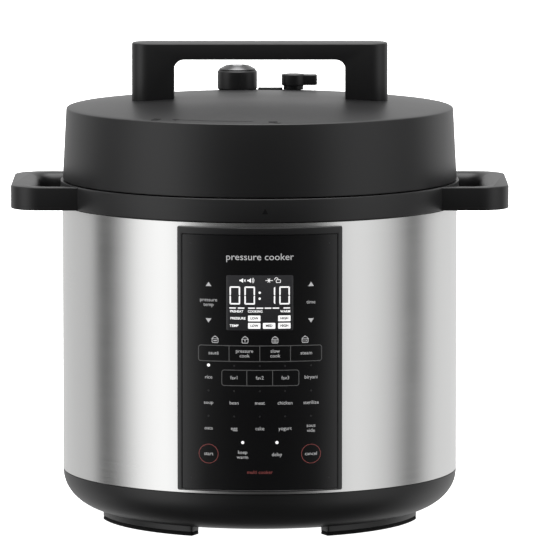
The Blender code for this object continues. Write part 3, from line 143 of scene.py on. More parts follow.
# %% [markdown]
# ## The studio
# A polished drum shows its surroundings, so the studio is made of what the drum should show: a bright
# soft box on each side, a dark gap behind each of them, and a pale room at the back. A strong box in
# the ceiling draws thin lines of light along rounded edges. All of it is one world shader that reads
# only directions, so the bands on the steel stay upright. The camera itself sees plain white. The
# floor is plain, and gives enough light of its own to stay white under the cooker.

# %% Studio world
SOFT_BOXES = [  # degrees round from the front, and brightness
    (-180, 0.58), (-128, 0.52), (-114, 0.50), (-107, 0.11), (-98, 0.07), (-88, 0.38), (-76, 0.92),
    (-60, 1.10), (-48, 1.08), (-42, 0.58), (-31, 0.15), (-16, 0.06), (0, 0.04), (16, 0.05), (32, 0.10),
    (40, 0.34), (47, 0.76), (62, 0.79), (80, 0.60), (91, 0.34), (98, 0.13), (105, 0.19), (115, 0.54),
    (128, 0.68), (180, 0.60),
]
BOX_STRENGTH = 1.75
TOP_LIGHT, CEILING_BOX, BELOW = 0.75, 5.5, 0.12
FLOOR_GLOW = 1.2
world = bpy.data.worlds.new("studio")
world.use_nodes = True
world.node_tree.nodes.clear()
sky = Bench(world.node_tree)
toward = sky.node("ShaderNodeTexCoord", output="Generated")
east = sky.node("ShaderNodeSeparateXYZ", None, {0: toward})
north, height = east.output("Y"), east.output("Z")
compass = east.math("ARCTAN2", east, 0 - north) / (2 * math.pi) + 0.5
stops = [((angle + 180) / 360, level) for angle, level in SOFT_BOXES]
around = sky.node("ShaderNodeValToRGB", {"stops": stops}, {"Fac": compass})


def from_to(low, high):
    """0 below one height of the sky, 1 above another, and smooth between them."""
    heights = {"Value": height, "From Min": low, "From Max": high, "To Min": 0.0, "To Max": 1.0}
    return sky.node("ShaderNodeMapRange", {"interpolation_type": "SMOOTHSTEP"}, heights)


overhead = from_to(0.45, 0.8)
walls = around * BOX_STRENGTH * (1 - overhead) * (BELOW + (1 - BELOW) * from_to(-0.80, -0.45))
glow = walls + overhead * TOP_LIGHT + from_to(0.84, 0.92) * CEILING_BOX
seen = sky.node("ShaderNodeLightPath", output="Is Camera Ray")
strength = seen + glow * (1 - seen)
backdrop = sky.node("ShaderNodeBackground", None, {"Strength": strength})
sky.node("ShaderNodeOutputWorld", None, {"Surface": backdrop})
bpy.context.scene.world = world
bpy.context.scene.view_settings.view_transform = "Standard"

# %% Floor
floor_data = bpy.data.meshes.new("floor")
FLOOR_SIDE = 40.0
corners = [(x * FLOOR_SIDE, y * FLOOR_SIDE, 0.0) for x, y in ((-1, -1), (1, -1), (1, 1), (-1, 1))]
floor_data.from_pydata(corners, [], [(0, 1, 2, 3)])
floor = bpy.data.objects.new("floor", floor_data)
floor_paint = bpy.data.materials.new("pale_floor")
floor_paint.use_nodes = True
floor_shader = floor_paint.node_tree.nodes["Principled BSDF"]
floor_shader.inputs["Base Color"].default_value = (0.85, 0.85, 0.85, 1.0)
floor_shader.inputs["Roughness"].default_value = 0.9
floor_shader.inputs["Specular IOR Level"].default_value = 0.0
floor_shader.inputs["Emission Color"].default_value = (1.0, 1.0, 1.0, 1.0)
floor_shader.inputs["Emission Strength"].default_value = FLOOR_GLOW
floor_data.materials.append(floor_paint)
floor.visible_glossy = False
floor.visible_diffuse = False
bpy.context.scene.collection.objects.link(floor)
print("floor side:", 2 * FLOOR_SIDE, "m")

# %% [markdown]
# ## Finishes
# Each finish starts from one Principled shader. What is the same all over is set on the shader's own
# sockets. What changes over the surface is a noise in object space, so that its scale is real: grains
# of spark-eroded plastic are half a millimetre, brush marks are thin and run round the drum.

# %% How a finish is made
FINISHES = {}


def finish(name, **same):
    """A new material and its bench, with the values that are the same all over the surface."""
    material = bpy.data.materials.new(name)
    material.use_nodes = True
    shader = material.node_tree.nodes["Principled BSDF"]
    for socket, value in same.items():
        colour = isinstance(value, tuple)
        shader.inputs[socket.replace("_", " ")].default_value = (*value, 1.0) if colour else value
    FINISHES[name] = material
    return Bench(material.node_tree), shader


def noise(bench, per_metre, detail=2.0, rough=0.5):
    """A noise in object space. Its scale is one number, or one for each axis."""
    scale = per_metre if isinstance(per_metre, tuple) else (per_metre,) * 3
    place = bench.node("ShaderNodeTexCoord", output="Object")
    stretched = bench.node("ShaderNodeMapping", None, {"Vector": place, "Scale": scale})
    settings = {"Vector": stretched, "Scale": 1.0, "Detail": detail, "Roughness": rough}
    return bench.node("ShaderNodeTexNoise", None, settings)


def varied(bench, shader, mask, first, second):
    """Base colour that goes from one colour to another with a mask."""
    colours = {"Factor": mask, "A": (*first, 1.0), "B": (*second, 1.0)}
    mixed = bench.node("ShaderNodeMix", {"data_type": "RGBA"}, colours, "Result")
    bench.tree.links.new(mixed.socket, shader.inputs["Base Color"])


def feed(shader, socket, wire):
    wire.bench.tree.links.new(wire.socket, shader.inputs[socket])


def raised(bench, shader, height, depth_mm, strength=1.0):
    """Bump of a real depth."""
    settings = {"Strength": strength, "Distance": depth_mm * MM, "Height": height}
    feed(shader, "Normal", bench.node("ShaderNodeBump", None, settings, "Normal"))


# %% [markdown]
# ### Metals
# Brushed steel is scratched by a belt while the drum turns, so its marks are long across and very
# thin upright. The marks change the roughness a little, and faint smudges change it in patches. Spun
# and pressed steel, plated steel and cast aluminium follow the same plan with other grains.

# %% Steel, plate and cast aluminium
def metal(name, first, second, rough, brush, smudge, depth_mm, spread=0.10):
    bench, shader = finish(name, Metallic=1.0)
    marks = noise(bench, brush, 3.0, 0.6)
    patches = noise(bench, smudge, 3.0)
    varied(bench, shader, marks * 0.6 + patches * 0.4, first, second)
    feed(shader, "Roughness", rough + (marks - 0.5) * spread + (patches - 0.5) * spread)
    raised(bench, shader, marks, depth_mm, 0.35)


metal("brushed_steel", (0.60, 0.60, 0.595), (0.70, 0.70, 0.695), 0.235, (9.0, 9.0, 2400.0), 16.0, 0.010)
metal("polished_steel", (0.62, 0.62, 0.61), (0.72, 0.72, 0.71), 0.19, (30.0, 30.0, 1500.0), 25.0, 0.006)
metal("plated_steel", (0.44, 0.45, 0.46), (0.56, 0.57, 0.58), 0.36, 260.0, 40.0, 0.010)
metal("cast_aluminium", (0.50, 0.50, 0.50), (0.62, 0.62, 0.62), 0.46, 900.0, 60.0, 0.040)
metal("copper", (0.60, 0.30, 0.18), (0.72, 0.40, 0.25), 0.34, 400.0, 60.0, 0.010)
metal("dark_trim", (0.10, 0.10, 0.10), (0.16, 0.16, 0.165), 0.24, (1500.0, 1500.0, 60.0), 60.0, 0.004)
print("metals:", len(FINISHES))

# %% [markdown]
# ### Plastics and rubbers
# Moulded black plastic has a fine spark-eroded grain that breaks up its gloss. The grain is real
# bump, well under a tenth of a millimetre deep, and slow patches keep large areas from looking dead.

# %% Plastics and rubbers
def moulded(name, first, second, rough, grain, depth_mm, patch=14.0, spread=0.08, **same):
    bench, shader = finish(name, **same)
    grains = noise(bench, grain, 2.0, 0.6)
    patches = noise(bench, patch, 3.0)
    varied(bench, shader, patches * 0.7 + grains * 0.3, first, second)
    feed(shader, "Roughness", rough + (grains - 0.5) * spread + (patches - 0.5) * spread)
    raised(bench, shader, grains, depth_mm, 0.5)


PLASTICS = [
    ("black_plastic", (0.0105, 0.0105, 0.011), (0.017, 0.017, 0.0175), 0.40, 1900.0, 0.030),
    ("grey_plastic", (0.13, 0.13, 0.14), (0.18, 0.18, 0.19), 0.48, 1600.0, 0.030),
    ("black_rubber", (0.006, 0.006, 0.006), (0.011, 0.011, 0.011), 0.72, 1300.0, 0.040),
    ("white_silicone", (0.66, 0.65, 0.61), (0.76, 0.75, 0.71), 0.48, 700.0, 0.020),
    ("red_silicone", (0.36, 0.025, 0.015), (0.46, 0.04, 0.025), 0.48, 700.0, 0.020),
    ("circuit_board", (0.02, 0.10, 0.04), (0.035, 0.15, 0.065), 0.45, 1200.0, 0.010),
    ("cable_sleeve", (0.018, 0.018, 0.018), (0.030, 0.030, 0.030), 0.55, 900.0, 0.020),
    ("gloss_panel", (0.0050, 0.0050, 0.0056), (0.0078, 0.0078, 0.0084), 0.17, 2600.0, 0.0012, 30.0, 0.05),
    ("panel_frame_black", (0.014, 0.014, 0.0145), (0.020, 0.020, 0.021), 0.33, 2200.0, 0.012),
    ("display_glass", (0.036, 0.036, 0.039), (0.046, 0.046, 0.049), 0.22, 2600.0, 0.0012, 60.0, 0.04),
    ("smoky_plastic", (0.16, 0.16, 0.17), (0.20, 0.20, 0.21), 0.12, 900.0, 0.004),
    ("dark_print", (0.0035, 0.0035, 0.0035), (0.006, 0.006, 0.006), 0.60, 900.0, 0.004),
]
OWN_SOCKETS = {
    "black_plastic": {"Specular_IOR_Level": 0.42}, "black_rubber": {"Specular_IOR_Level": 0.15},
    "white_silicone": {"Subsurface_Weight": 0.15}, "dark_print": {"Specular_IOR_Level": 0.15},
    "smoky_plastic": {"Transmission_Weight": 0.75, "IOR": 1.49},
}
for name, *values in PLASTICS:
    moulded(name, *values, **OWN_SOCKETS.get(name, {}))
print("finishes:", len(FINISHES))

# %% [markdown]
# ### Printing inks and lit segments
# The words on the panel are pale ink, a few hundredths of a millimetre thick, and they never look
# perfectly even. The white and red inks also carry a faint painted glow, which makes the words brighter
# than the light on them would. The numbers of the display and the small lamps give light of their own.

# %% Inks and lamps
def ink(name, first, second, glow_colour=(0.0, 0.0, 0.0), glow_strength=0.0):
    bench, shader = finish(name, Emission_Color=glow_colour, Emission_Strength=glow_strength)
    patches = noise(bench, 700.0, 2.0)
    varied(bench, shader, patches, first, second)
    feed(shader, "Roughness", 0.42 + (patches - 0.5) * 0.15)


# Painted glow: the white ink gives a little light of its own though it is only print, so the words stay
# bright.
ink("white_ink", (0.52, 0.52, 0.53), (0.66, 0.66, 0.67), (1.0, 1.0, 1.0), 0.16)
ink("grey_ink", (0.11, 0.11, 0.11), (0.15, 0.15, 0.15))
ink("faint_ink", (0.018, 0.018, 0.019), (0.026, 0.026, 0.027))
# Painted glow: the red ink also gives a faint light of its own, though it is only print.
ink("red_ink", (0.30, 0.06, 0.06), (0.38, 0.09, 0.085), (1.0, 0.3, 0.25), 0.05)
ink("lit_segment", (0.6, 0.6, 0.6), (0.7, 0.7, 0.7), (1.0, 1.0, 1.0), 0.75)
print("finishes in all:", len(FINISHES))

# %% [markdown]
# ## Turning on a lathe, with Geometry Nodes
# Most of a cooker is turned or spun: drum, lid, pot, base, rings and knob. One node tree does what a
# lathe does. It takes a profile, which is a chain of points, and sweeps it round an upright circle.
# The profile is drawn around the circle's own line, one metre out, so its radius is subtracted first.

# %% The lathe tree
FINE_STEPS = 256  # round the axis, for the large pieces
SHARP_ANGLE = math.radians(32)  # between faces, from where an edge stays sharp


def add_sockets(tree, named):
    """Named inputs of a tree, as a dict of name to socket identifier."""
    made = {}
    for name, kind in named:
        made[name] = tree.interface.new_socket(name, in_out="INPUT", socket_type=kind).identifier
    tree.interface.new_socket("Piece", in_out="OUTPUT", socket_type="NodeSocketGeometry")
    return made


lathe_tree = bpy.data.node_groups.new("lathe", "GeometryNodeTree")
LATHE = add_sockets(lathe_tree, [
    ("Profile", "NodeSocketGeometry"), ("Steps", "NodeSocketInt"),
    ("Centre", "NodeSocketVector"), ("Finish", "NodeSocketMaterial"),
])
lathe = Bench(lathe_tree)
asked = lathe.node("NodeGroupInput", output="Profile")
steps_round = {"Resolution": asked.output("Steps"), "Radius": 1.0}
circle = lathe.node("GeometryNodeCurvePrimitiveCircle", None, steps_round)
level_circle = lathe.node("GeometryNodeSetCurveNormal", {"mode": "Z_UP"}, {"Curve": circle})
chain = lathe.node("GeometryNodeMeshToCurve", None, {"Mesh": asked})
swept = lathe.node("GeometryNodeCurveToMesh", None, {"Curve": level_circle, "Profile Curve": chain})
closed = lathe.node("GeometryNodeMergeByDistance", None, {"Geometry": swept, "Distance": 1e-6})
shift = {"Geometry": closed, "Translation": asked.output("Centre")}
centred = lathe.node("GeometryNodeTransform", None, shift)
real = lathe.node("GeometryNodeRealizeInstances", None, {"Geometry": centred})
coated = lathe.node("GeometryNodeSetMaterial", None, {"Geometry": real, "Material": asked.output("Finish")})
lathe.node("NodeGroupOutput", None, {"Piece": coated})


def plain_copy(source, name):
    """The evaluated shape of an object as a new object with a plain mesh. The source is removed."""
    graph = bpy.context.evaluated_depsgraph_get()
    mesh = bpy.data.meshes.new_from_object(source.evaluated_get(graph))
    bpy.data.objects.remove(source)
    return blank_from(mesh, name)


def blank_from(mesh, name):
    """An object of a mesh, with its faces turned outwards and its sharp edges kept sharp."""
    bm = bmesh.new()
    bm.from_mesh(mesh)
    bmesh.ops.recalc_face_normals(bm, faces=bm.faces)
    bm.to_mesh(mesh)
    bm.free()
    mesh.shade_smooth()
    mesh.set_sharp_from_angle(angle=SHARP_ANGLE)
    made = bpy.data.objects.new(name, mesh)
    bpy.context.scene.collection.objects.link(made)
    return made


def eased(outline, radius, closed=True, steps=4):
    """An outline with each corner rounded. A corner on the axis stays, and short sides limit the radius."""
    points = [Vector(point) for point in outline]
    count = len(points)
    result = []
    for index, corner in enumerate(points):
        before, after = points[index - 1], points[(index + 1) % count]
        ends = not closed and index in (0, count - 1)
        into, out = before - corner, after - corner
        turn = into.angle(out, math.pi) if into.length and out.length else math.pi
        if ends or turn > math.radians(160):
            result.append(tuple(corner))
            continue
        reach = min(radius / math.tan(turn / 2), 0.45 * into.length, 0.45 * out.length)
        first, last = corner + into.normalized() * reach, corner + out.normalized() * reach
        for step in range(steps + 1):
            t = step / steps
            result.append(tuple(first * (1 - t) ** 2 + corner * 2 * t * (1 - t) + last * t ** 2))
    return result


def turned(name, outline, coat="black_plastic", centre=(0.0, 0.0), steps=192, ease=0.5):
    """A piece turned on the lathe from an outline of (radius, height) in millimetres."""
    on_axis = outline[0][0] < 1e-6 and outline[-1][0] < 1e-6
    smooth = eased(outline, ease, closed=not on_axis)
    mesh = bpy.data.meshes.new(name)
    points = [(radius * MM - 1.0, -height * MM, 0.0) for radius, height in smooth]
    last = len(points) - 1
    edges = [(index, index + 1) for index in range(last)] + ([] if on_axis else [(last, 0)])
    mesh.from_pydata(points, edges, [])
    profile = bpy.data.objects.new(name + "_profile", mesh)
    bpy.context.scene.collection.objects.link(profile)
    tool = profile.modifiers.new("lathe", "NODES")
    tool.node_group = lathe_tree
    tool[LATHE["Steps"]] = steps
    tool[LATHE["Centre"]] = (centre[0] * MM, centre[1] * MM, 0.0)
    tool[LATHE["Finish"]] = FINISHES[coat]
    return plain_copy(profile, name)


def washer(outer, inner, low, high):
    """Outline of a plain ring."""
    return [(outer, high), (outer, low), (inner, low), (inner, high)]


def disc(radius, low, high):
    """Outline of a plain disc or pin on the axis."""
    return [(0.0, high), (radius, high), (radius, low), (0.0, low)]


print("lathe nodes:", len(lathe_tree.nodes))

# %% [markdown]
# ## Copies in a ring or a row, with Geometry Nodes
# Tabs of a bayonet, vents, slits, lamps and dashes repeat. A second tree puts one sample on each
# point of a list, turned by the point's own angle, and makes the copies real.

# %% The tree of copies
copies_tree = bpy.data.node_groups.new("copies", "GeometryNodeTree")
COPIES = add_sockets(copies_tree, [
    ("Places", "NodeSocketGeometry"), ("Sample", "NodeSocketObject"), ("Finish", "NodeSocketMaterial"),
])
rack = Bench(copies_tree)
given = rack.node("NodeGroupInput", output="Places")
sample = rack.node("GeometryNodeObjectInfo", None, {"Object": given.output("Sample")}, "Geometry")
angle = rack.node("GeometryNodeInputNamedAttribute", {"data_type": "FLOAT"}, {"Name": "turn"}, "Attribute")
spun = rack.node("ShaderNodeCombineXYZ", None, {"Z": angle})
on_points = {"Points": given, "Instance": sample, "Rotation": spun}
placed = rack.node("GeometryNodeInstanceOnPoints", None, on_points)
made_real = rack.node("GeometryNodeRealizeInstances", None, {"Geometry": placed})
paint = {"Geometry": made_real, "Material": given.output("Finish")}
painted = rack.node("GeometryNodeSetMaterial", None, paint)
rack.node("NodeGroupOutput", None, {"Piece": painted})


def copies(name, sample_object, places, coat="black_plastic"):
    """Copies of a sample at (x, y, z, turn), places in millimetres and turns in radians."""
    mesh = bpy.data.meshes.new(name)
    mesh.from_pydata([(x * MM, y * MM, z * MM) for x, y, z, _ in places], [], [])
    turns = mesh.attributes.new("turn", "FLOAT", "POINT")
    turns.data.foreach_set("value", [turn for _, _, _, turn in places])
    holder = bpy.data.objects.new(name + "_places", mesh)
    bpy.context.scene.collection.objects.link(holder)
    tool = holder.modifiers.new("copies", "NODES")
    tool.node_group = copies_tree
    tool[COPIES["Sample"]] = sample_object
    tool[COPIES["Finish"]] = FINISHES[coat]
    made = plain_copy(holder, name)
    bpy.data.objects.remove(sample_object)
    return made


def ring_of(name, sample_object, count, first=0.0, coat="black_plastic"):
    turns = [first + 2 * math.pi * number / count for number in range(count)]
    return copies(name, sample_object, [(0.0, 0.0, 0.0, turn) for turn in turns], coat)


print("copies nodes:", len(copies_tree.nodes))

# %% [markdown]
# ## Lofts and Booleans
# What isn't turned is lofted: loops with the same number of points are stacked, joined by faces and
# closed at both ends. Rounded edges come from loops that pull in a little near the ends. Openings are
# cut with exact Booleans, as a mould's core leaves them.

# %% Lofting and cutting
def rounded_outline(half_x, half_y, corner, centre=(0.0, 0.0), steps=6):
    """A rectangle with round corners, counter-clockwise."""
    points = []
    for side_x, side_y, quarter in ((1, 1, 0), (-1, 1, 1), (-1, -1, 2), (1, -1, 3)):
        middle_x = centre[0] + side_x * (half_x - corner)
        middle_y = centre[1] + side_y * (half_y - corner)
        for step in range(steps + 1):
            turn = (quarter + step / steps) * math.pi / 2
            points.append((middle_x + corner * math.cos(turn), middle_y + corner * math.sin(turn)))
    return points


def inset(outline, distance):
    """A closed counter-clockwise outline moved inwards, or outwards for a negative distance."""
    count = len(outline)
    moved = []
    for index in range(count):
        before, here, after = (Vector(outline[(index + k) % count]) for k in (-1, 0, 1))
        first, second = (here - before).normalized(), (after - here).normalized()
        normal = Vector((-first.y - second.y, first.x + second.x)).normalized()
        stretch = max(0.35, normal.dot(Vector((-first.y, first.x))))
        moved.append(tuple(here + normal * (distance / stretch)))
    return moved


def lofted(name, loops, coat="black_plastic"):
    """A closed body through loops of points in millimetres, all with the same count."""
    bm = bmesh.new()
    rows = [[bm.verts.new(Vector(point) * MM) for point in loop] for loop in loops]
    for lower, upper in zip(rows, rows[1:]):
        for index in range(len(lower)):
            after = (index + 1) % len(lower)
            bm.faces.new((lower[index], lower[after], upper[after], upper[index]))
    bm.faces.new(rows[0][::-1])
    bm.faces.new(rows[-1])
    mesh = bpy.data.meshes.new(name)
    bm.to_mesh(mesh)
    bm.free()
    mesh.materials.append(FINISHES[coat])
    return blank_from(mesh, name)


def quarter_round(ease, steps=3):
    """(inset, distance from the face) pairs for a rounded edge, from the side to the face."""
    turns = [math.pi / 2 * step / steps for step in range(steps + 1)]
    return [(ease * (1 - math.cos(turn)), ease * (1 - math.sin(turn))) for turn in turns]


def level_loops(outline, levels):
    """Loops of an outline in plan, at (inset, height) pairs."""
    return [[(x, y, height) for x, y in inset(outline, pull)] for pull, height in levels]


def slab(name, outline, low, high, ease=0.6, coat="black_plastic", ease_low=None):
    """An outline in plan, raised between two heights, with rounded upper and lower edges."""
    ease_low = ease if ease_low is None else ease_low
    levels = [(pull, low + drop) for pull, drop in quarter_round(ease_low)[::-1]]
    levels += [(pull, high - drop) for pull, drop in quarter_round(ease)]
    return lofted(name, level_loops(outline, levels), coat)


def boolean(target, operation, *tools):
    """Adds or cuts the tools, which are then removed, and returns the plain result."""
    for tool in tools:
        step = target.modifiers.new(tool.name, "BOOLEAN")
        step.operation = operation
        step.object = tool
        step.solver = "EXACT"
    name = target.name
    target.name = name + "_before"
    made = plain_copy(target, name)
    for tool in tools:
        bpy.data.objects.remove(tool)
    return made


def corners_of(middle_x, middle_y, radius, quarters, steps):
    """Points of round corners. Each quarter is (number of quarter turns, side of the middle in y)."""
    points = []
    for quarter, side in quarters:
        for step in range(steps + 1):
            turn = (quarter + step / steps) * math.pi / 2
            points.append((middle_x + radius * math.cos(turn), side * middle_y + radius * math.sin(turn)))
    return points


def keep(piece, body, slot, *nodes):
    """The finished piece rides on its body and stands for its nodes. The slot argument is not used."""
    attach(piece, body)
    if nodes:
        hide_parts(*nodes)
    print(piece.name, len(piece.data.polygons), "faces")
    return piece


def polar(radius, turn):
    return radius * math.cos(turn), radius * math.sin(turn)


# %% [markdown]
# ## The base
# The base is one black bowl. Its side leaves the drum upright and rolls under in a quarter of a
# superellipse, so the cooker seems to float on its four curved feet. The bowl is turned, the feet are
# lofted bars with a step, and air slots are cut through the floor.

# %% Base bowl and feet
base_low = span("cooker_base")[0]
drum_low, drum_high = span("outer_shell")
drum_radius = drum_high.x
BOWL_FLOOR, BOWL_WALL, BOWL_WIDTH, BOWL_POWER = 5.2, 2.5, 38.2, 2.12
bowl_rim = drum_low.z - 0.3


def bowl_curve(wall, steps=22):
    """From the upright side down to the flat floor."""
    points = []
    for step in range(steps + 1):
        turn = math.pi / 2 * step / steps
        across, down = math.cos(turn) ** (2 / BOWL_POWER), math.sin(turn) ** (2 / BOWL_POWER)
        radius = drum_radius - BOWL_WIDTH + (BOWL_WIDTH - wall) * across
        points.append((radius, bowl_rim - (bowl_rim - BOWL_FLOOR - wall) * down))
    return points


bowl = [(0.0, BOWL_FLOOR + BOWL_WALL), (0.0, BOWL_FLOOR)] + bowl_curve(0.0)[::-1]
lip_outer, lip_inner, lip_top = drum_radius - 1.2, drum_radius - 3.0, bowl_rim + 7.0
bowl += [(lip_outer, bowl_rim), (lip_outer, lip_top), (lip_inner, lip_top)]
bowl += bowl_curve(BOWL_WALL)
base = turned("base_bowl", bowl, steps=FINE_STEPS, ease=0.35)


def curved_bar(inner, outer, start, end, corner=1.5, steps=18):
    """Plan of a bar bent round the axis, its four corners eased, counter-clockwise."""
    points = [polar(outer, start + (end - start) * step / steps) for step in range(steps + 1)]
    points += [polar(inner, end - (end - start) * step / steps) for step in range(steps + 1)]
    return eased(points, corner, steps=4)


FOOT_INNER, FOOT_OUTER = 99.5, 110.5
FOOT_START, FOOT_END = math.radians(24.5), math.radians(78)
pad_top = span("foot_pad_front_right")[1].z
foot_spans = {
    "front_right": (FRONT + FOOT_START, FRONT + FOOT_END), "rear_right": (REAR - FOOT_END, REAR - FOOT_START),
    "rear_left": (REAR + FOOT_START, REAR + FOOT_END), "front_left": (FRONT - FOOT_END, FRONT - FOOT_START),
}
bosses = []
for place, (start, end) in foot_spans.items():
    plan = curved_bar(FOOT_INNER, FOOT_OUTER, start, end)
    bosses.append(slab("boss_" + place, plan, base_low.z, BOWL_FLOOR + 2.4, ease=0.3))
base = boolean(base, "UNION", *bosses)
vent_plan = rounded_outline(11.0, 2.2, 2.1, (63.0, 0.0))
vent = slab("vent", vent_plan, BOWL_FLOOR - 2.0, BOWL_FLOOR + 5.0, ease=0.1)
base = boolean(base, "DIFFERENCE", ring_of("vents", vent, 8, math.pi / 8))
keep(base, "housing", "black_plastic", "cooker_base")

# %% [markdown]
# The pads under the feet are soft rubber with a small groove all round, pressed into the plastic.

# %% Foot pads
for place, (start, end) in foot_spans.items():
    plan = curved_bar(FOOT_INNER, FOOT_OUTER, start, end)
    heights = [(0.5, 0.0), (0.12, 0.15), (0.0, 0.5), (0.0, 1.5), (0.35, 1.6), (0.35, 1.9), (0.0, 2.0)]
    heights.append((0.0, pad_top))
    pad = lofted("rubber_pad_" + place, level_loops(plan, heights), "black_rubber")
    keep(pad, "housing", "black_rubber", "foot_pad_" + place)

# %% [markdown]
# ## The steel drum
# The drum is rolled from a thin sheet and brushed round. Its ends are folded in, which gives a small
# radius at the top and bottom. At the rear an opening is cut for the mains inlet.

# %% Drum
inlet_low, inlet_high = span("power_inlet")
SHEET = 0.8
drum_outline = washer(drum_radius, drum_radius - SHEET, drum_low.z, drum_high.z)
drum = turned("steel_drum", drum_outline, "brushed_steel", steps=FINE_STEPS, ease=0.35)
SOCKET_HALF_X, SOCKET_HALF_Z = 14.0, 11.8
inlet_z = (inlet_low.z + inlet_high.z) / 2


def rear_block(name, half_x, half_z, corner, near, far, ease=0.2, coat="black_plastic"):
    """A block with round corners that lies along Y at the rear."""
    outline = rounded_outline(half_x, half_z, corner)
    block = slab(name, outline, near, far, ease, coat)
    block.data.transform(Matrix.Translation((0, 0, inlet_z * MM)) @ Matrix.Rotation(-math.pi / 2, 4, "X"))
    return block


drum = boolean(drum, "DIFFERENCE", rear_block("inlet_way", SOCKET_HALF_X, SOCKET_HALF_Z, 2.0, 125.0, 145.0))
keep(drum, "housing", "brushed_steel", "outer_shell")

# %% [markdown]
# ## The collar and its carrying lugs
# The black collar closes the drum at the top. Its two lugs carry the cooker, so each has a finger
# slot with wide rounded lips. The outline is one loop: the ring's circle, out along each lug, round
# its corners and back. The bore and the slots are cut from it.

# %% Collar with lugs
collar_high = span("top_collar")[1]
collar_bottom = drum_high.z + 0.3
COLLAR_RADIUS, BORE_RADIUS = 137.0, 127.6
LUG_HALF, LUG_CORNER, RAIL, END_WALL, LIP = 58.0, 20.0, 13.0, 17.5, 8.0
lug_end = collar_high.x
OUTER_QUARTERS = ((-1, -1), (0, 1))


def lug_side(sign):
    """From the ring out along one lug and back to the ring."""
    root = math.asin(LUG_HALF / COLLAR_RADIUS)
    corner_x, corner_y = lug_end - LUG_CORNER, LUG_HALF - LUG_CORNER
    points = [polar(COLLAR_RADIUS, -root)]
    points += corners_of(corner_x, corner_y, LUG_CORNER, OUTER_QUARTERS, 10)
    points.append(polar(COLLAR_RADIUS, root))
    return [(sign * x, sign * y) for x, y in points]


root = math.asin(LUG_HALF / COLLAR_RADIUS)
arc_steps = 64
arc_turns = [root + (math.pi - 2 * root) * step / arc_steps for step in range(1, arc_steps)]
front_arc = [polar(COLLAR_RADIUS, turn) for turn in arc_turns]
rear_arc = [(-x, -y) for x, y in front_arc]
collar_plan = lug_side(1) + front_arc + lug_side(-1) + rear_arc
collar = slab("collar", collar_plan, collar_bottom, collar_high.z, ease=1.0, ease_low=0.8)
bore = [
    (0.0, collar_high.z + 4), (BORE_RADIUS + 4.8, collar_high.z + 4), (BORE_RADIUS + 1.2, collar_high.z),
    (BORE_RADIUS + 0.35, collar_high.z - 0.35), (BORE_RADIUS, collar_high.z - 1.2),
    (BORE_RADIUS, collar_bottom - 4), (0.0, collar_bottom - 4),
]


def slot_loop(grow, height):
    """The finger slot in plan, straight at the ring, with round outer corners."""
    half, corner = LUG_HALF - RAIL + grow, 9.0 + grow
    outer = lug_end - END_WALL + grow
    inner = COLLAR_RADIUS + 1.2 - min(grow, 0.9)
    points = []
    reach = math.asin(min(0.9, half / inner))
    for step in range(17):
        points.append(polar(inner, reach - 2 * reach * step / 16))
    points += corners_of(outer - corner, half - corner, corner, OUTER_QUARTERS, 8)
    return [(x, y, height) for x, y in points]


levels = [(0.0, collar_bottom - 3)]
for step in range(9):
    turn = math.pi / 2 * step / 8
    levels.append((LIP * (1 - math.cos(turn)), collar_high.z - LIP * (1 - math.sin(turn))))
levels.append((LIP + 1.5, collar_high.z + 3))
slots = []
for side, turn in (("right", 0.0), ("left", math.pi)):
    slot = lofted("slot_" + side, [slot_loop(grow, height) for grow, height in levels])
    slot.data.transform(Matrix.Rotation(turn, 4, "Z"))
    slots.append(slot)
collar = boolean(collar, "DIFFERENCE", turned("bore", bore, ease=0.0, steps=FINE_STEPS), *slots)
keep(collar, "housing", "black_plastic", "top_collar")

# %% [markdown]
# ## Inside the housing
# With the lid and the pot out, the well shows: the locking ring with its six inward tabs, the spun
# aluminium shield, the cast heating plate with its turned rings and the sprung sensor cap.

# %% Locking ring and its tabs
lock_low, lock_high = span("locking_ring")
LOCK_INNER, TAB_INNER = 125.2, 120.7
TAB_LOW, TAB_HIGH = 227.5, 230.0
TAB_HALF_ANGLE = math.radians(13)


def tab_sample(name, inner, outer, low, high, half_angle, coat):
    """One flat tab of a bayonet, bent round the axis, its edges eased."""
    plan = [polar(outer, -half_angle + 2 * half_angle * step / 16) for step in range(17)]
    plan += [polar(inner, half_angle - 2 * half_angle * step / 16) for step in range(17)]
    return slab(name, eased(plan, 0.8, steps=3), low, high, ease=0.25, coat=coat)


ring_outline = washer(lock_high.x, LOCK_INNER, lock_low.z, lock_high.z)
ring = turned("lock_ring", ring_outline, "plated_steel", steps=FINE_STEPS, ease=0.3)
tab = tab_sample("tab", TAB_INNER, LOCK_INNER + 0.9, TAB_LOW, TAB_HIGH, TAB_HALF_ANGLE, "plated_steel")
ring = boolean(ring, "UNION", ring_of("lock_tabs", tab, 6, 0.0, "plated_steel"))
keep(ring, "housing", "plated_steel", "locking_ring")

# %% Heat shield, heating plate and sensor
SHIELD_FLANGE, SHIELD_RADIUS, SHIELD_HOLE, SHIELD_WALL = 127.0, 115.9, 99.0, 1.2
SHIELD_LOW, SHIELD_TOP = 46.0, 214.0
shield_inner = SHIELD_RADIUS - SHIELD_WALL
shield_outline = [
    (SHIELD_FLANGE, SHIELD_TOP), (SHIELD_FLANGE, SHIELD_TOP - SHIELD_WALL),
    (SHIELD_RADIUS, SHIELD_TOP - SHIELD_WALL), (SHIELD_RADIUS, SHIELD_LOW),
    (SHIELD_HOLE, SHIELD_LOW), (SHIELD_HOLE, SHIELD_LOW + SHIELD_WALL),
    (shield_inner, SHIELD_LOW + SHIELD_WALL), (shield_inner, SHIELD_TOP),
]
shield = turned("heat_well", shield_outline, "cast_aluminium", steps=FINE_STEPS, ease=1.1)
keep(shield, "housing", "cast_aluminium", "heat_shield")
plate_low, plate_high = span("heating_plate")
HEATER_EDGE, HEATER_UNDER, HEATER_BORE = 11.7, 50.0, 14.5
heater = [(plate_high.x, plate_high.z), (plate_high.x, plate_high.z - HEATER_EDGE), (77.0, HEATER_UNDER)]
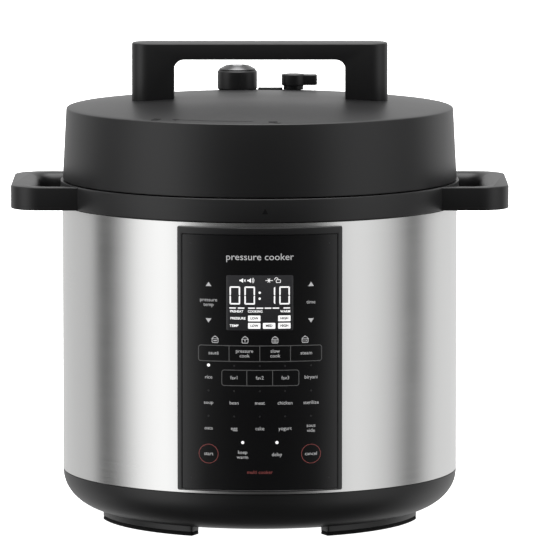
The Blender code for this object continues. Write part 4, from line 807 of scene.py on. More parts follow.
heater += [(75.0, plate_low.z), (60.0, plate_low.z), (58.0, HEATER_UNDER)]
heater += [(HEATER_BORE, HEATER_UNDER), (HEATER_BORE, plate_high.z)]
for groove in (26.0, 40.0, 54.0, 68.0, 82.0):
    heater += [(groove - 0.5, plate_high.z), (groove, plate_high.z - 0.35), (groove + 0.5, plate_high.z)]
keep(turned("cast_plate", heater, "cast_aluminium", ease=0.5), "housing", "cast_aluminium", "heating_plate")
cap_low, cap_high = span("sensor_cap")
cap_top, skirt_low, cap_under = cap_high.z, cap_high.z - 5.5, cap_high.z - 1.2
sensor = [
    (0.0, cap_top - 0.25), (6.0, cap_top - 0.2), (9.5, cap_top), (cap_high.x, cap_top - 0.4),
    (cap_high.x, skirt_low), (11.2, skirt_low), (11.2, cap_under), (3.8, cap_under),
    (3.8, cap_low.z), (0.0, cap_low.z),
]
button = turned("sensor_button", sensor, "cast_aluminium", steps=96, ease=0.6)
keep(button, "sensor", "cast_aluminium", "sensor_cap")

# %% [markdown]
# ## The inner pot
# The pot is drawn from one sheet of steel. Its wall runs into the floor with a wide radius, and its
# rim is rolled outwards so that it can be lifted and so that the seal has something flat to press on.
# Fill lines are pressed into the wall, one at each half litre mark that matters.

# %% Pot
pot_low, pot_high = span("inner_pot")
rim_radius, rim_top = pot_high.x, pot_high.z
POT_OUTER, POT_WALL, POT_CORNER = 110.7, 1.5, 10.0


def pot_corner(radius, steps=10):
    middle = (POT_OUTER - POT_CORNER, pot_low.z + POT_CORNER)
    return [
        (middle[0] + radius * math.cos(turn), middle[1] - radius * math.sin(turn))
        for turn in (math.pi / 2 * step / steps for step in range(steps + 1))
    ]


FILL_LINES = (112.0, 150.0, 180.0)
pot = [(0.0, pot_low.z)] + pot_corner(POT_CORNER)[::-1]
rim_under, pot_inside = rim_top - POT_WALL, POT_OUTER - POT_WALL
pot += [(POT_OUTER, rim_top - 4.0), (POT_OUTER + 1.0, rim_under), (rim_radius, rim_under)]
pot += [(rim_radius, rim_top), (POT_OUTER + 0.6, rim_top), (pot_inside, rim_top - 3.0)]
for line in FILL_LINES[::-1]:
    pot += [(pot_inside, line + 0.7), (pot_inside - 0.3, line), (pot_inside, line - 0.7)]
pot += pot_corner(POT_CORNER - POT_WALL) + [(0.0, pot_low.z + POT_WALL)]
steel_pot = turned("steel_pot", pot, "polished_steel", steps=FINE_STEPS, ease=0.6)
keep(steel_pot, "inner_pot", "polished_steel", "inner_pot")

# %% [markdown]
# ## Under the lid
# A domed steel plate closes the pot. Its skirt carries six tabs that slide under the housing's tabs.
# A wire rack holds the silicone ring, a nut clamps the plate, and a filter cap guards the steam pipe.

# %% Lid plate with its tabs
plate_low, plate_high = span("lid_plate")
SKIRT, SKIRT_WALL, PLATE_EDGE, PLATE_RISE = 119.7, 1.5, 235.5, 6.5
plate_shape = [(0.0, 1.0), (0.25, 0.985), (0.5, 0.92), (0.7, 0.68), (0.84, 0.30), (0.93, 0.08), (1.0, 0.0)]
upper = [(share * SKIRT, PLATE_EDGE + PLATE_RISE * rise) for share, rise in plate_shape]
inner_skirt = SKIRT - SKIRT_WALL
lower = [(share * inner_skirt, PLATE_EDGE - SKIRT_WALL + PLATE_RISE * rise) for share, rise in plate_shape]
outline = upper + [(SKIRT, plate_low.z), (inner_skirt, plate_low.z)] + lower[::-1]
plate = turned("lid_disc", outline, "polished_steel", steps=FINE_STEPS, ease=0.4)
tab_low, tab_high = plate_low.z + 0.1, plate_low.z + 3.0
tab = tab_sample("tab", SKIRT - 0.7, plate_high.x, tab_low, tab_high, TAB_HALF_ANGLE, "polished_steel")
plate = boolean(plate, "UNION", ring_of("lid_tabs", tab, 6, math.pi / 6, "polished_steel"))
keep(plate, "lid", "polished_steel", "lid_plate")

# %% Seal, rack, nut, filter and under ring
seal_low, seal_high = span("sealing_ring")
groove_low, groove_high = seal_low.z + 3.8, seal_low.z + 6.2
SEAL_INNER, GROOVE = 108.6, 111.9
seal = [
    (seal_high.x, seal_high.z), (seal_high.x, seal_low.z), (seal_high.x - 3.4, seal_low.z + 0.9),
    (SEAL_INNER, seal_low.z), (SEAL_INNER, groove_low), (GROOVE, groove_low), (GROOVE, groove_high),
    (SEAL_INNER, groove_high), (SEAL_INNER, seal_high.z),
]
silicone = turned("silicone_seal", seal, "white_silicone", steps=FINE_STEPS, ease=0.7)
keep(silicone, "seal", "white_silicone", "sealing_ring")
rack_high = span("ring_rack")[1]
holder = [
    (108.0, rack_high.z), (108.0, groove_high - 0.6), (rack_high.x, groove_high - 0.6),
    (rack_high.x, groove_low + 0.6), (106.8, groove_low + 0.6), (106.8, rack_high.z),
]
seal_rack = turned("seal_rack", holder, "polished_steel", steps=FINE_STEPS, ease=0.4)
keep(seal_rack, "lid", "polished_steel", "ring_rack")
nut_low, nut_high = span("centre_bolt")
nut = [
    (0.0, nut_high.z), (2.5, nut_high.z), (2.5, nut_low.z + 7.0), (6.5, nut_low.z + 7.0),
    (6.5, nut_low.z + 4.0), (4.0, nut_low.z + 0.8), (0.0, nut_low.z),
]
keep(turned("dome_nut", nut, "polished_steel", steps=48, ease=0.5), "lid", "polished_steel", "centre_bolt")
filter_low, filter_high = span("steam_filter")
valve_x, valve_y = (filter_low.x + filter_high.x) / 2, (filter_low.y + filter_high.y) / 2
filter_radius = filter_high.x - valve_x
SCREEN_WALL, SCREEN_HOLE = 1.0, 4.5
screen_floor, screen_roof = filter_low.z + SCREEN_WALL, filter_high.z - SCREEN_WALL
screen = [
    (filter_radius, filter_high.z), (filter_radius, filter_low.z), (0.0, filter_low.z),
    (0.0, screen_floor), (filter_radius - SCREEN_WALL, screen_floor),
    (filter_radius - SCREEN_WALL, screen_roof), (SCREEN_HOLE, screen_roof), (SCREEN_HOLE, filter_high.z),
]
screen_cap = turned("steam_screen", screen, "polished_steel", (valve_x, valve_y), 64, 0.4)
slit_plan = rounded_outline(2.4, 0.8, 0.7, (filter_radius, 0.0), 3)
slit = slab("slit", slit_plan, filter_low.z + 3.0, filter_high.z - 2.5, ease=0.1)
slits = copies("slits", slit, [(valve_x, valve_y, 0.0, math.pi * k / 6) for k in range(12)])
keep(boolean(screen_cap, "DIFFERENCE", slits), "lid", "polished_steel", "steam_filter")
under_low, under_high = span("lid_under_ring")
under = washer(under_high.x, 120.3, under_low.z, under_high.z)
keep(turned("lid_closing_ring", under, steps=FINE_STEPS, ease=0.4), "lid", "black_plastic", "lid_under_ring")

# %% [markdown]
# ## The lid's cover
# The cover is the largest black piece. Its side tapers in by a couple of millimetres, a small sharp
# radius catches a thin line of light at the rim, and the top rises in a shallow dome. The valve and
# the lever stand in a flat dish cut into it, with a low rib between them. They and the float pin come
# through holes with a small chamfer.

# %% Lid cover
cover_low, cover_high = span("lid_cover")
LID_RADIUS, RIM_RADIUS, LID_EDGE, CROWN, LID_WALL = cover_high.x, 133.3, 283.5, 8.0, 2.5


def dome(radius):
    """Height of the lid's top at a distance from the axis."""
    return LID_EDGE + CROWN * (1 - (radius / RIM_RADIUS) ** 2)


dome_steps = 24
dome_radii = [RIM_RADIUS * step / dome_steps for step in range(dome_steps)]
top_line = [(radius, dome(radius)) for radius in dome_radii]
cover = top_line + [(RIM_RADIUS - 1.3, dome(RIM_RADIUS - 1.3)), (RIM_RADIUS - 0.65, LID_EDGE - 0.1)]
cover += [(RIM_RADIUS - 0.2, LID_EDGE - 0.5), (RIM_RADIUS + 0.02, LID_EDGE - 1.3)]
cover += [(LID_RADIUS - 0.06, cover_low.z + 1.0), (LID_RADIUS - 0.3, cover_low.z)]
cover += [(LID_RADIUS - LID_WALL, cover_low.z), (RIM_RADIUS - LID_WALL, LID_EDGE - LID_WALL)]
cover += [(radius, height - LID_WALL) for radius, height in top_line[::-1] if radius < RIM_RADIUS - LID_WALL]
lid = turned("lid_shell", cover, steps=FINE_STEPS, ease=0.15)
weight_low, weight_high = span("valve_weight")
lever_low, lever_high = span("release_lever")
lever_x = 23.6
float_low, float_high = span("float_pin")
float_x, float_y = (float_low.x + float_high.x) / 2, (float_low.y + float_high.y) / 2


def hole(name, x, y, radius, top, mouth=0.5):
    """A cutter for an upright hole through the lid, wider at its mouth."""
    wide = radius + mouth
    profile = [(0.0, top + 3), (wide + 2.9, top + 3), (wide, top + 0.1), (radius, top - mouth)]
    profile += [(radius, top - 12), (0.0, top - 12)]
    return turned(name, profile, centre=(x, y), steps=64, ease=0.0)


DECK, DECK_MARGIN, LEVER_HUB = LID_EDGE + 5.1, 1.2, 7.0
RIB_HALF, RIB_RISE, RIB_GAP = 3.0, 1.5, 0.6
knob_radius = (weight_high.x - weight_low.x) / 2
deck_radius = knob_radius + DECK_MARGIN
deck_middle, deck_half = (valve_x + lever_x) / 2, (lever_x - valve_x) / 2 + deck_radius
deck_plan = rounded_outline(deck_half, deck_radius, deck_radius - 0.01, (deck_middle, valve_y), 24)
lid = boolean(lid, "DIFFERENCE", slab("deck_tool", deck_plan, DECK, LID_EDGE + 20.0, ease=0.0))
rib_start, rib_end = valve_x + knob_radius + RIB_GAP, lever_x - LEVER_HUB - RIB_GAP
rib_plan = rounded_outline((rib_end - rib_start) / 2, RIB_HALF, 0.5, ((rib_start + rib_end) / 2, valve_y), 3)
lid = boolean(lid, "UNION", slab("rib", rib_plan, DECK - 1.0, DECK + RIB_RISE, ease=0.3))
lid = boolean(
    lid, "DIFFERENCE",
    hole("valve_way", valve_x, valve_y, 6.9, DECK), hole("shaft_way", lever_x, valve_y, 4.3, DECK),
    hole("float_way", float_x, float_y, 4.5, dome(math.hypot(float_x, float_y)), 0.8),
)
keep(lid, "lid", "black_plastic", "lid_cover")

# %% [markdown]
# ## The lid's handle
# A bridge with two broad legs. Seen from above its corners are round, and the opening for the hand
# has its own fillets where the bar meets the legs. A small bevel on every edge takes the light.

# %% Handle
handle_high = span("lid_handle")[1]
HANDLE_CORNER, LEG, GRIP, HAND_FILLET = 11.5, 29.1, 11.1, 7.0
plan = rounded_outline(handle_high.x, handle_high.y, HANDLE_CORNER, steps=12)
handle = slab("handle_bridge", plan, LID_EDGE + 1.0, handle_high.z, ease=1.1, ease_low=0.2)
hand_half = handle_high.x - LEG
hand_top = handle_high.z - GRIP
way = rounded_outline(hand_half, 30.0, HAND_FILLET, (0.0, hand_top - 30.0), 10)
hand_way = slab("hand_way", way, -20.0, 20.0, ease=0.1)
hand_way.data.transform(Matrix.Rotation(math.pi / 2, 4, "X"))
handle = boolean(handle, "DIFFERENCE", hand_way)
under_dome = [(radius, height - 0.4) for radius, height in top_line]
under_dome += [(RIM_RADIUS, LID_EDGE - 8), (0.0, LID_EDGE - 8)]
handle = boolean(handle, "DIFFERENCE", turned("dome_tool", under_dome, ease=0.0))
bevel = handle.modifiers.new("edge", "BEVEL")
bevel.width, bevel.segments, bevel.limit_method, bevel.angle_limit = 0.9 * MM, 3, "ANGLE", math.radians(50)
handle.name = "handle_before"
handle = plain_copy(handle, "handle_bridge")
keep(handle, "lid", "black_plastic", "lid_handle")

# %% [markdown]
# ## Steam valve, lever and float
# The weight is a black knob with a dark metal cone pressed into its top. The cone shines only round
# its middle, so it has a shallow dish and a raised boss. The lever's thick band and its flag stand on
# a narrower neck, so a thumb can push it round. The float pin shows as a small silver dot.

# %% Valve knob and its cap
knob_x, knob_y = (weight_low.x + weight_high.x) / 2, (weight_low.y + weight_high.y) / 2
knob = weight_high.x - knob_x
KNOB_BORE = 4.8
knob_top, knob_roof = weight_high.z, weight_high.z - 2.5
body = [
    (0.0, knob_top), (knob - 1.0, knob_top), (knob - 0.1, knob_top - 1.1), (knob, knob_top - 3.5),
    (knob, weight_low.z + 1.0), (knob - 0.7, weight_low.z), (KNOB_BORE, weight_low.z),
    (KNOB_BORE, knob_roof), (0.0, knob_roof),
]
valve_knob = turned("valve_knob", body, "black_plastic", (knob_x, knob_y), 96, 0.5)
keep(valve_knob, "steam_valve", "black_plastic", "valve_weight")
cone_low, cone_high = span("valve_cap")
cone_top = cone_high.z
cone = [
    (0.0, cone_top - 0.3), (3.0, cone_top - 0.35), (3.6, cone_top - 0.9), (6.4, cone_top - 0.8),
    (7.2, cone_top), (8.0, cone_top), (knob - 1.0, cone_low.z + 0.35), (knob - 1.1, cone_low.z),
    (0.0, cone_low.z),
]
valve_cone = turned("valve_cone", cone, "dark_trim", (knob_x, knob_y), 96, 0.4)
keep(valve_cone, "steam_valve", "polished_steel", "valve_cap")

# %% Release lever
FLAG_HALF, BAND_RADIUS, BAND_HEIGHT, SOCKET_RADIUS = 4.6, 8.3, 7.9, 3.9
band_low = lever_high.z - BAND_HEIGHT
hub = {"centre": (lever_x, valve_y)}
neck = turned("lever_neck", disc(LEVER_HUB, lever_low.z, lever_high.z - 1.0), steps=64, ease=0.3, **hub)
band = turned("lever_band", disc(BAND_RADIUS, band_low, lever_high.z), steps=64, ease=0.8, **hub)
blade_half = (lever_high.x - lever_x) / 2
blade = rounded_outline(blade_half, FLAG_HALF, 1.8, (lever_x + blade_half, valve_y), 5)
flag = slab("flag", blade, band_low + 0.3, lever_high.z - 0.3, ease=0.9)
socket_top = lever_high.z - 4.0
socket = turned("socket", disc(SOCKET_RADIUS, lever_low.z - 1, socket_top), steps=48, ease=0.0, **hub)
lever = boolean(boolean(neck, "UNION", band, flag), "DIFFERENCE", socket)
keep(lever, "lever", "black_plastic", "release_lever")

# %% Float pin and its plug
pin = [
    (0.0, float_high.z), (2.9, float_high.z - 0.2), (3.8, float_high.z - 0.9), (3.8, float_high.z - 2.2),
    (2.8, float_high.z - 2.2), (2.8, float_low.z), (0.0, float_low.z),
]
float_stem = turned("float_stem", pin, "polished_steel", (float_x, float_y), 48, 0.4)
keep(float_stem, "float_valve", "polished_steel", "float_pin")
plug_low, plug_high = span("float_plug")
plug = [(0.0, plug_high.z), (4.8, plug_high.z), (5.2, plug_low.z + 1.0), (3.0, plug_low.z), (0.0, plug_low.z)]
float_bung = turned("float_bung", plug, "red_silicone", (float_x, float_y), 48, 0.5)
keep(float_bung, "float_valve", "red_silicone", "float_plug")

# %% [markdown]
# ## Pieces that are wrapped round the drum
# The control panel, the inlet's flange and the cup follow the drum's curve. They are drawn flat, as
# x across, y away from the drum and z up, then cut into narrow strips and pressed onto the cylinder.

# %% Pressing onto the drum
STRIP = 2.0


def pressed(piece, radius, facing=FRONT, strips=True, sheet=False):
    """Bends a flat piece, whose y is its height above a cylinder of this radius in millimetres."""
    bm = bmesh.new()
    bm.from_mesh(piece.data)
    low = min(vertex.co.x for vertex in bm.verts)
    high = max(vertex.co.x for vertex in bm.verts)
    cuts = int((high - low) / (STRIP * MM)) if strips else 0
    for number in range(1, cuts):
        place = (low + (high - low) * number / cuts, 0, 0)
        everything = bm.verts[:] + bm.edges[:] + bm.faces[:]
        bmesh.ops.bisect_plane(bm, geom=everything, plane_co=place, plane_no=(1, 0, 0))
    for vertex in bm.verts:
        out = radius * MM + vertex.co.y
        vertex.co.y = -math.sqrt(max(0.0, out ** 2 - vertex.co.x ** 2))
    if facing == REAR:
        bmesh.ops.rotate(bm, verts=bm.verts, cent=(0, 0, 0), matrix=Matrix.Rotation(math.pi, 3, "Z"))
    bm.normal_update()
    if sheet:
        outwards = Vector((0, -1, 0)) if facing == FRONT else Vector((0, 1, 0))
        bmesh.ops.reverse_faces(bm, faces=[face for face in bm.faces if face.normal.dot(outwards) < 0])
    else:
        bmesh.ops.recalc_face_normals(bm, faces=bm.faces)
    bm.to_mesh(piece.data)
    bm.free()
    piece.data.shade_smooth()
    piece.data.set_sharp_from_angle(angle=SHARP_ANGLE)
    return piece


def facing_loops(outline, levels):
    """Loops of a flat outline in x and z, at (inset, height above the drum) pairs."""
    return [[(x, out, z) for x, z in inset(outline, pull)] for pull, out in levels]


# %% [markdown]
# ## The control panel
# A black frame stands a few millimetres proud of the drum, with a narrow border round a shallow
# recess. A gloss sheet lies in the recess and carries the printing. The display sits behind it.

# %% Frame and gloss sheet
frame_low, frame_high = span("panel_frame")
sheet_low, sheet_high = span("panel_overlay")
panel_radius = -frame_low.y
BORDER, RECESS, DRUM_GAP = 3.0, 1.1, 0.3


def upright_outline(half_x, low_z, high_z, corner, steps):
    """A rectangle with round corners in x and z, between two heights."""
    return rounded_outline(half_x, (high_z - low_z) / 2, corner, (0.0, (high_z + low_z) / 2), steps)


outer = upright_outline(frame_high.x, frame_low.z, frame_high.z, 1.2, 4)
sheet_outline = upright_outline(frame_high.x - BORDER, sheet_low.z - 0.3, sheet_high.z + 0.3, 1.0, 4)
proud = panel_radius - drum_radius
rim_edge = [(pull, proud - drop) for pull, drop in quarter_round(0.5)]
frame_loops = facing_loops(outer, [(0.0, DRUM_GAP)] + rim_edge)
inner_edge = [(-pull, proud - drop) for pull, drop in quarter_round(0.35)[::-1]]
frame_loops += facing_loops(sheet_outline, inner_edge + [(0.0, proud - RECESS)])
panel = pressed(lofted("panel_rim", frame_loops, "panel_frame_black"), drum_radius)
keep(panel, "housing", "black_plastic", "panel_frame")
SHEET_FACE = proud - RECESS + 0.8
sheet_loops = facing_loops(sheet_outline, [
    (0.3, proud - RECESS + 0.25), (0.3, SHEET_FACE - 0.15), (0.45, SHEET_FACE),
])
gloss = pressed(lofted("gloss_sheet", sheet_loops, "gloss_panel"), drum_radius)
keep(gloss, "housing", "gloss_panel", "panel_overlay")

# %% [markdown]
# ## Drawing on the panel
# Printing is drawn in flat meshes: strokes are ribbons of faces along a line, words are text turned
# into faces. One sheet of marks is collected for each ink, and then pressed onto the panel, a few
# hundredths of a millimetre above the gloss.

# %% Pens and words
class Marks:
    """Flat faces of one ink, drawn in x and z millimetres."""

    def __init__(self):
        self.bm = bmesh.new()

    def area(self, points):
        self.bm.faces.new([self.bm.verts.new((x * MM, 0.0, z * MM)) for x, z in points])

    def line(self, points, width, closed=False):
        """A ribbon along the points, mitred at its corners."""
        path = [Vector(point) for point in points]
        count = len(path)
        sides = []
        for index, here in enumerate(path):
            before = path[index - 1] if closed or index else here
            after = path[(index + 1) % count] if closed or index < count - 1 else here
            first = (here - before).normalized() if before != here else (after - here).normalized()
            second = (after - here).normalized() if after != here else first
            normal = Vector((-first.y - second.y, first.x + second.x)).normalized()
            reach = width / 2 / max(0.4, normal.dot(Vector((-first.y, first.x))))
            sides.append((here + normal * reach, here - normal * reach))
        rows = [[self.bm.verts.new((p.x * MM, 0.0, p.y * MM)) for p in pair] for pair in sides]
        for first, second in zip(rows, rows[1:] + (rows[:1] if closed else [])):
            self.bm.faces.new((first[0], first[1], second[1], second[0]))

    def ring(self, x, z, radius, width, start=0.0, end=360.0, steps=32):
        whole = end - start >= 360
        turns = [math.radians(start + (end - start) * k / steps) for k in range(steps + (not whole))]
        self.line([(x + radius * math.cos(t), z + radius * math.sin(t)) for t in turns], width, whole)

    def dot(self, x, z, radius, steps=20):
        turns = [2 * math.pi * k / steps for k in range(steps)]
        self.area([(x + radius * math.cos(t), z + radius * math.sin(t)) for t in turns])

    def box(self, low_x, low_z, high_x, high_z, corner, width):
        centre = ((high_x + low_x) / 2, (high_z + low_z) / 2)
        outline = rounded_outline((high_x - low_x) / 2, (high_z - low_z) / 2, corner, centre)
        self.line(outline, width, True)

    def word(self, text, x, z, size, stretch=1.0, weight=0.0):
        """A word centred on a point."""
        curve = bpy.data.curves.new("word", "FONT")
        curve.body, curve.size = text, size * MM
        curve.align_x, curve.align_y = "CENTER", "CENTER"
        curve.offset = weight * MM
        curve.resolution_u = 3
        letters = bpy.data.objects.new("word", curve)
        bpy.context.scene.collection.objects.link(letters)
        graph = bpy.context.evaluated_depsgraph_get()
        mesh = bpy.data.meshes.new_from_object(letters.evaluated_get(graph))
        bpy.data.objects.remove(letters)
        upright = Matrix.Rotation(math.pi / 2, 4, "X") @ Matrix.Diagonal((stretch, 1, 1, 1))
        mesh.transform(Matrix.Translation((x * MM, 0, z * MM)) @ upright)
        self.bm.from_mesh(mesh)

    def piece(self, name, coat):
        bmesh.ops.remove_doubles(self.bm, verts=self.bm.verts, dist=1e-7)
        mesh = bpy.data.meshes.new(name)
        self.bm.to_mesh(mesh)
        self.bm.free()
        mesh.materials.clear()
        mesh.materials.append(FINISHES[coat])
        made = bpy.data.objects.new(name, mesh)
        bpy.context.scene.collection.objects.link(made)
        return made


white, grey, faint, red, lit, glass = (Marks() for _ in range(6))
PRINT_GAP = 0.06
print("inks ready")

# %% Words and arrows round the display
WORD = 3.35
white.word("pressure cooker", 0.0, 194.8, 6.5, 1.05)
for side in (-1, 1):
    for level, up in ((176.3, 1), (151.8, -1)):
        x = side * 34.35
        white.area([(x - 1.95, level - 1.4 * up), (x + 1.95, level - 1.4 * up), (x, level + 1.5 * up)][::up])
white.word("pressure", -34.35, 165.7, WORD)
white.word("temp", -34.35, 162.5, WORD)
white.word("time", 34.35, 164.2, WORD)

# %% [markdown]
# The four main programmes have a small picture of a pot, each with its own sign in it: waves for
# frying, an arrow for pressure, bars for slow heat and dashes for steam.

# %% Programme keys
for x, sign in ((-30.0, "waves"), (-9.9, "arrow"), (10.2, "bars"), (30.4, "dashes")):
    z = 138.9
    pot_side = [(-2.0, 0.5), (-2.0, -1.5), (-1.6, -2.0), (1.6, -2.0), (2.0, -1.5), (2.0, 0.5)]
    white.line([(x + dx, z + dz) for dx, dz in pot_side], 0.42)
    white.ring(x, z + 0.1, 2.0, 0.42, 12, 168, 14)
    white.line([(x - 2.4, z + 0.55), (x + 2.4, z + 0.55)], 0.36)
    white.line([(x - 0.5, z + 2.35), (x + 0.5, z + 2.35)], 0.4)
    if sign == "waves":
        white.line([(x - 1.1 + 0.275 * k, z - 0.7 + 0.25 * (-1) ** k) for k in range(9)], 0.28)
    if sign == "arrow":
        white.line([(x, z - 1.5), (x, z + 0.1)], 0.3)
        white.area([(x - 0.6, z - 0.5), (x + 0.6, z - 0.5), (x, z + 0.25)])
    if sign == "bars":
        for level in (-1.3, -0.7, -0.1):
            white.line([(x - 1.1, z + level), (x + 1.1, z + level)], 0.28)
    if sign == "dashes":
        for shift in (-0.9, 0.0, 0.9):
            white.line([(x + shift, z - 1.4), (x + shift, z - 0.1)], 0.28)
FRAME_LINE = 0.55
grey.box(-41.1, 124.4, 41.5, 135.0, 1.6, FRAME_LINE)
for x in (-20.6, 0.0, 20.6):
    grey.line([(x, 124.4), (x, 135.0)], FRAME_LINE)
grey.box(-25.5, 108.0, 26.2, 118.5, 1.6, FRAME_LINE)
for x in (-8.7, 8.6):
    grey.line([(x, 108.0), (x, 118.5)], FRAME_LINE)
PROGRAMMES = [
    ("sauté", -31.0, 129.9), ("steam", 31.2, 129.9), ("pressure", -10.3, 131.4), ("cook", -10.3, 128.2),
    ("slow", 10.3, 131.4), ("cook", 10.3, 128.2), ("fav1", -17.1, 113.3), ("fav2", 0.0, 113.3),
    ("fav3", 17.2, 113.3),
]
FOODS = [
    (113.5, ("rice", None, None, None, "biryani")), (96.3, ("soup", "bean", "meat", "chicken", "sterilize")),
    (79.0, ("oats", "egg", "cake", "yogurt", None)),
]
COLUMNS = (-34.4, -17.25, 0.0, 17.0, 34.4)
for text, x, z in PROGRAMMES:
    white.word(text, x, z, WORD)
for z, words in FOODS:
    for x, text in zip(COLUMNS, words):
        if text:
            white.word(text, x, z, WORD)
LAST_WORDS = [
    ("sous", 34.4, 80.7), ("vide", 34.4, 77.3), ("start", -34.4, 61.6), ("cancel", 34.4, 61.6),
    ("keep", -11.56, 62.9), ("warm", -11.56, 59.6), ("delay", 11.47, 61.4),
]
for text, x, z in LAST_WORDS:
    white.word(text, x, z, WORD)
for x in (-34.4, 34.4):
    red.ring(x, 61.6, 6.4, 0.32, steps=48)
red.word("multi cooker", 0.0, 49.4, 3.3)
print("words printed")

# %% [markdown]
# Each key has a small lamp above it. Most are dark dots under the gloss, three are lit. They repeat,
# so one dot is drawn and the tree of copies puts it at every key.

# %% Lamps
LIT_LAMPS = [(-34.4, 121.6), (-11.5, 69.6), (11.5, 69.6)]
DARK_LAMPS = [(x, z) for z in (121.4, 104.4, 87.2) for x in COLUMNS if (x, z) != (-34.4, 121.4)]


def lamp_dots(name, radius, places, coat):
    sample_marks = Marks()
    sample_marks.dot(0.0, 0.0, radius)
    dots = copies(name, sample_marks.piece("lamp_sample", coat), [(x, 0.0, z, 0.0) for x, z in places], coat)
    pressed(dots, drum_radius + SHEET_FACE + PRINT_GAP, strips=False, sheet=True)
    return keep(dots, "housing", "gloss_panel")


lamp_dots("lit_lamps", 1.05, LIT_LAMPS, "lit_segment")
lamp_dots("dark_lamps", 0.7, DARK_LAMPS, "faint_ink")

# %% [markdown]
# ## The display
# A grey pane with white seven-part numbers. Above them are small signs, below them a row of dashes
# for the cooking stages and tags for pressure and heat. Lettering on the tags is cut out of the
# lit area by laying dark words on it.

# %% Display pane
PANE_LOW, PANE_HIGH = 145.4, 182.6
pane_outline = upright_outline(span("display_module")[1].x, PANE_LOW, PANE_HIGH, 1.0, 4)
pane_levels = [(0.0, SHEET_FACE - 0.1), (0.0, SHEET_FACE + 0.005), (0.03, SHEET_FACE + 0.02)]
pane = pressed(lofted("display_pane", facing_loops(pane_outline, pane_levels), "display_glass"), drum_radius)
keep(pane, "housing", "gloss_panel", "display_module")

# %% Numbers
SEGMENTS = {"0": "abcdef", "1": "bc"}
DIGIT_HALF, DIGIT_LOW, DIGIT_HIGH, BAR = 3.55, 162.9, 175.1, 0.95
digit_middle = (DIGIT_LOW + DIGIT_HIGH) / 2


def number(figure, x):
    """One seven-part figure, its bars cut at an angle where they meet."""
    left, right, gap = x - DIGIT_HALF, x + DIGIT_HALF, 0.25
    top, low = DIGIT_HIGH, DIGIT_LOW
    bars = {
        "a": [(left + gap, top), (right - gap, top), (right - BAR, top - BAR), (left + BAR, top - BAR)],
        "d": [(left + gap, low), (left + BAR, low + BAR), (right - BAR, low + BAR), (right - gap, low)],
        "b": [(right, top - gap), (right, digit_middle + 0.3), (right - BAR / 2, digit_middle + 0.1),
              (right - BAR, digit_middle + 0.6), (right - BAR, top - BAR - 0.05)],
        "c": [(right, low + gap), (right - BAR, low + BAR + 0.05), (right - BAR, digit_middle - 0.6),
              (right - BAR / 2, digit_middle - 0.1), (right, digit_middle - 0.3)],
        "f": [(left, top - gap), (left + BAR, top - BAR - 0.05), (left + BAR, digit_middle + 0.6),
              (left + BAR / 2, digit_middle + 0.1), (left, digit_middle + 0.3)],
        "e": [(left, low + gap), (left, digit_middle - 0.3), (left + BAR / 2, digit_middle - 0.1),
              (left + BAR, digit_middle - 0.6), (left + BAR, low + BAR + 0.05)],
    }
    for part in SEGMENTS[figure]:
        lit.area(bars[part])


for figure, x in (("0", -16.7), ("0", -6.75), ("1", 6.8), ("0", 16.6)):
    number(figure, x)
for z in (166.9, 170.9):
    lit.dot(-0.05, z, 0.8)

# %% Signs, dashes and tags
SMALL = 2.25
lit.area([(-13.6, 178.6), (-12.6, 178.6), (-11.2, 177.5), (-11.2, 180.7), (-12.6, 179.6), (-13.6, 179.6)])
lit.line([(-10.6, 178.3), (-9.4, 179.9)], 0.35)
lit.line([(-10.6, 179.9), (-9.4, 178.3)], 0.35)
lit.area([(-8.3, 178.6), (-7.3, 178.6), (-5.9, 177.5), (-5.9, 180.7), (-7.3, 179.6), (-8.3, 179.6)])
lit.ring(-6.2, 179.1, 1.5, 0.35, -50, 50, 8)
lit.ring(-6.2, 179.1, 2.3, 0.35, -50, 50, 8)
lit.line([(3.8, 179.1), (8.8, 179.1)], 0.35)
for turn in (1, 2, 4, 5):
    dx, dz = math.cos(turn * math.pi / 3), math.sin(turn * math.pi / 3)
    lit.line([(6.1 + 0.2 * dx, 179.1 + 0.2 * dz), (6.1 + 1.5 * dx, 179.1 + 1.5 * dz)], 0.4)
lit.box(11.0, 177.7, 13.9, 179.6, 0.4, 0.35)
lit.ring(11.1, 179.8, 1.15, 0.35, 10, 190, 10)
for x, width in ((-18.2, 4.4), (-12.5, 4.4), (-5.5, 4.6), (0.0, 4.6), (5.5, 4.4), (10.8, 4.4), (18.1, 4.4)):
    lit.line([(x - width / 2, 160.5), (x + width / 2, 160.5)], 0.8)
STAGES = [("PREHEAT", -15.55, 158.2, 0.96), ("COOKING", -3.1, 158.2, 0.92), ("WARM", 17.1, 158.2, 0.96)]
STAGES += [("PRESSURE", -14.65, 153.5, 1.05), ("TEMP", -17.25, 148.5, 1.1)]
for text, x, z, stretch in STAGES:
    lit.word(text, x, z, SMALL, stretch, 0.06)
TAG_HALF_X, TAG_HALF_Z = 4.15, 1.95
UPPER_TAG, LOWER_TAG = 153.55, 148.55
TAGS = [("LOW", -3.7, UPPER_TAG), ("HIGH", 16.45, UPPER_TAG)]
TAGS += [("LOW", -3.7, LOWER_TAG), ("MED", 6.25, LOWER_TAG), ("HIGH", 16.45, LOWER_TAG)]
for text, x, z in TAGS:
    lit.area(rounded_outline(TAG_HALF_X, TAG_HALF_Z, 0.4, (x, z), 3))
    glass.word(text, x, z, SMALL, 1.0, 0.09)
print("display drawn")

